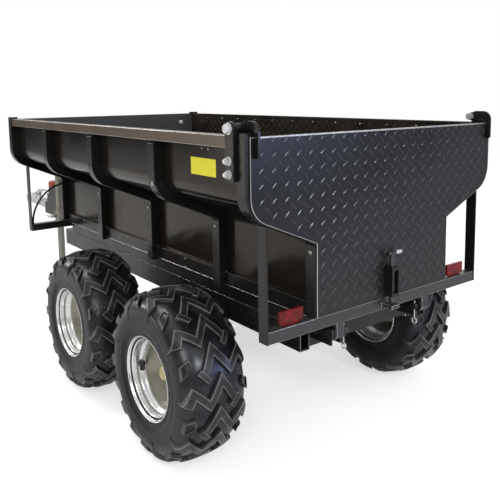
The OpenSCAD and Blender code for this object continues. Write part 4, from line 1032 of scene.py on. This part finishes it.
def makeFloor():
    material = bpy.data.materials.new("paleFloor")
    material.use_nodes = True
    tree = material.node_tree
    skin = tree.nodes["Principled BSDF"].inputs
    skin["Roughness"].default_value = studio["floorRough"]
    skin["Specular IOR Level"].default_value = 0.0
    skin["Emission Strength"].default_value = 1.0
    coords = addNode(tree, "TexCoord").outputs["Object"]
    reach = addNode(tree, "VectorMath", operation="LENGTH", Vector=coords).outputs["Value"]
    near, rise, fall = [rangeNode(tree, reach, *studio[key]) for key in ("near", "rise", "fall")]
    ahead = rangeNode(tree, axesOf(tree, coords)["Y"], *studio["ahead"])
    far = times(tree, ahead, fall)
    # reflections see the floor far ahead in darker grey: a painted shade that shows only in reflections
    mirrored = addNode(tree, "LightPath").outputs["Is Glossy Ray"]
    dim = times(tree, mirrored, far)
    feed(tree, mixColour(tree, dim, grey(studio["floor"]), grey(studio["farFloor"])), skin["Base Color"])
    ring = mathNode(tree, "SUBTRACT", times(tree, ahead, rise), far)
    glow = mixColour(tree, near, grey(0.0), grey(studio["nearGlow"]))
    glow = mixColour(tree, ring, glow, grey(studio["aheadGlow"]))
    feed(tree, byRay(tree, grey(studio["cameraGlow"]), glow, grey(0.0)), skin["Emission Color"])
    size = studio["size"]
    corners = [(-size, -size, 0), (size, -size, 0), (size, size, 0), (-size, size, 0)]
    mesh = bpy.data.meshes.new("studioFloor")
    mesh.from_pydata(corners, [], [(0, 1, 2, 3)])
    mesh.materials.append(material)
    floor = bpy.data.objects.new("studioFloor", mesh)
    scene.collection.objects.link(floor)


def makeWorld():
    world = bpy.data.worlds.new("paleRoom")
    world.use_nodes = True
    tree = world.node_tree
    aim = addNode(tree, "TexCoord").outputs["Generated"]
    ahead = addNode(tree, "VectorMath", operation="DOT_PRODUCT", Vector=aim)
    ahead.inputs[1].default_value = studio["backdrop"]
    up = rangeNode(tree, axesOf(tree, aim)["Z"], *studio["ceilingEdge"])
    white = rangeNode(tree, ahead.outputs["Value"], *studio["backdropEdge"])
    room = mixColour(tree, up, grey(studio["wall"]), grey(studio["ceiling"]))
    room = mixColour(tree, white, room, grey(1.0))
    sky = tree.nodes["Background"].inputs["Color"]
    feed(tree, byRay(tree, grey(1.0), room, grey(studio["ambient"])), sky)
    scene.world = world


def makeLamps():
    for name, (place, aim, width, height, power, colour) in studio["lamps"].items():
        data = bpy.data.lights.new(name, "AREA")
        data.shape = "RECTANGLE"
        data.size = width
        data.size_y = height
        data.energy = power
        data.color = colour
        lamp = bpy.data.objects.new(name, data)
        lamp.location = place
        lamp.rotation_euler = (Vector(aim) - Vector(place)).to_track_quat("-Z", "Y").to_euler()
        scene.collection.objects.link(lamp)


makeCamera()
makeFloor()
makeWorld()
makeLamps()
print("camera and light ready")
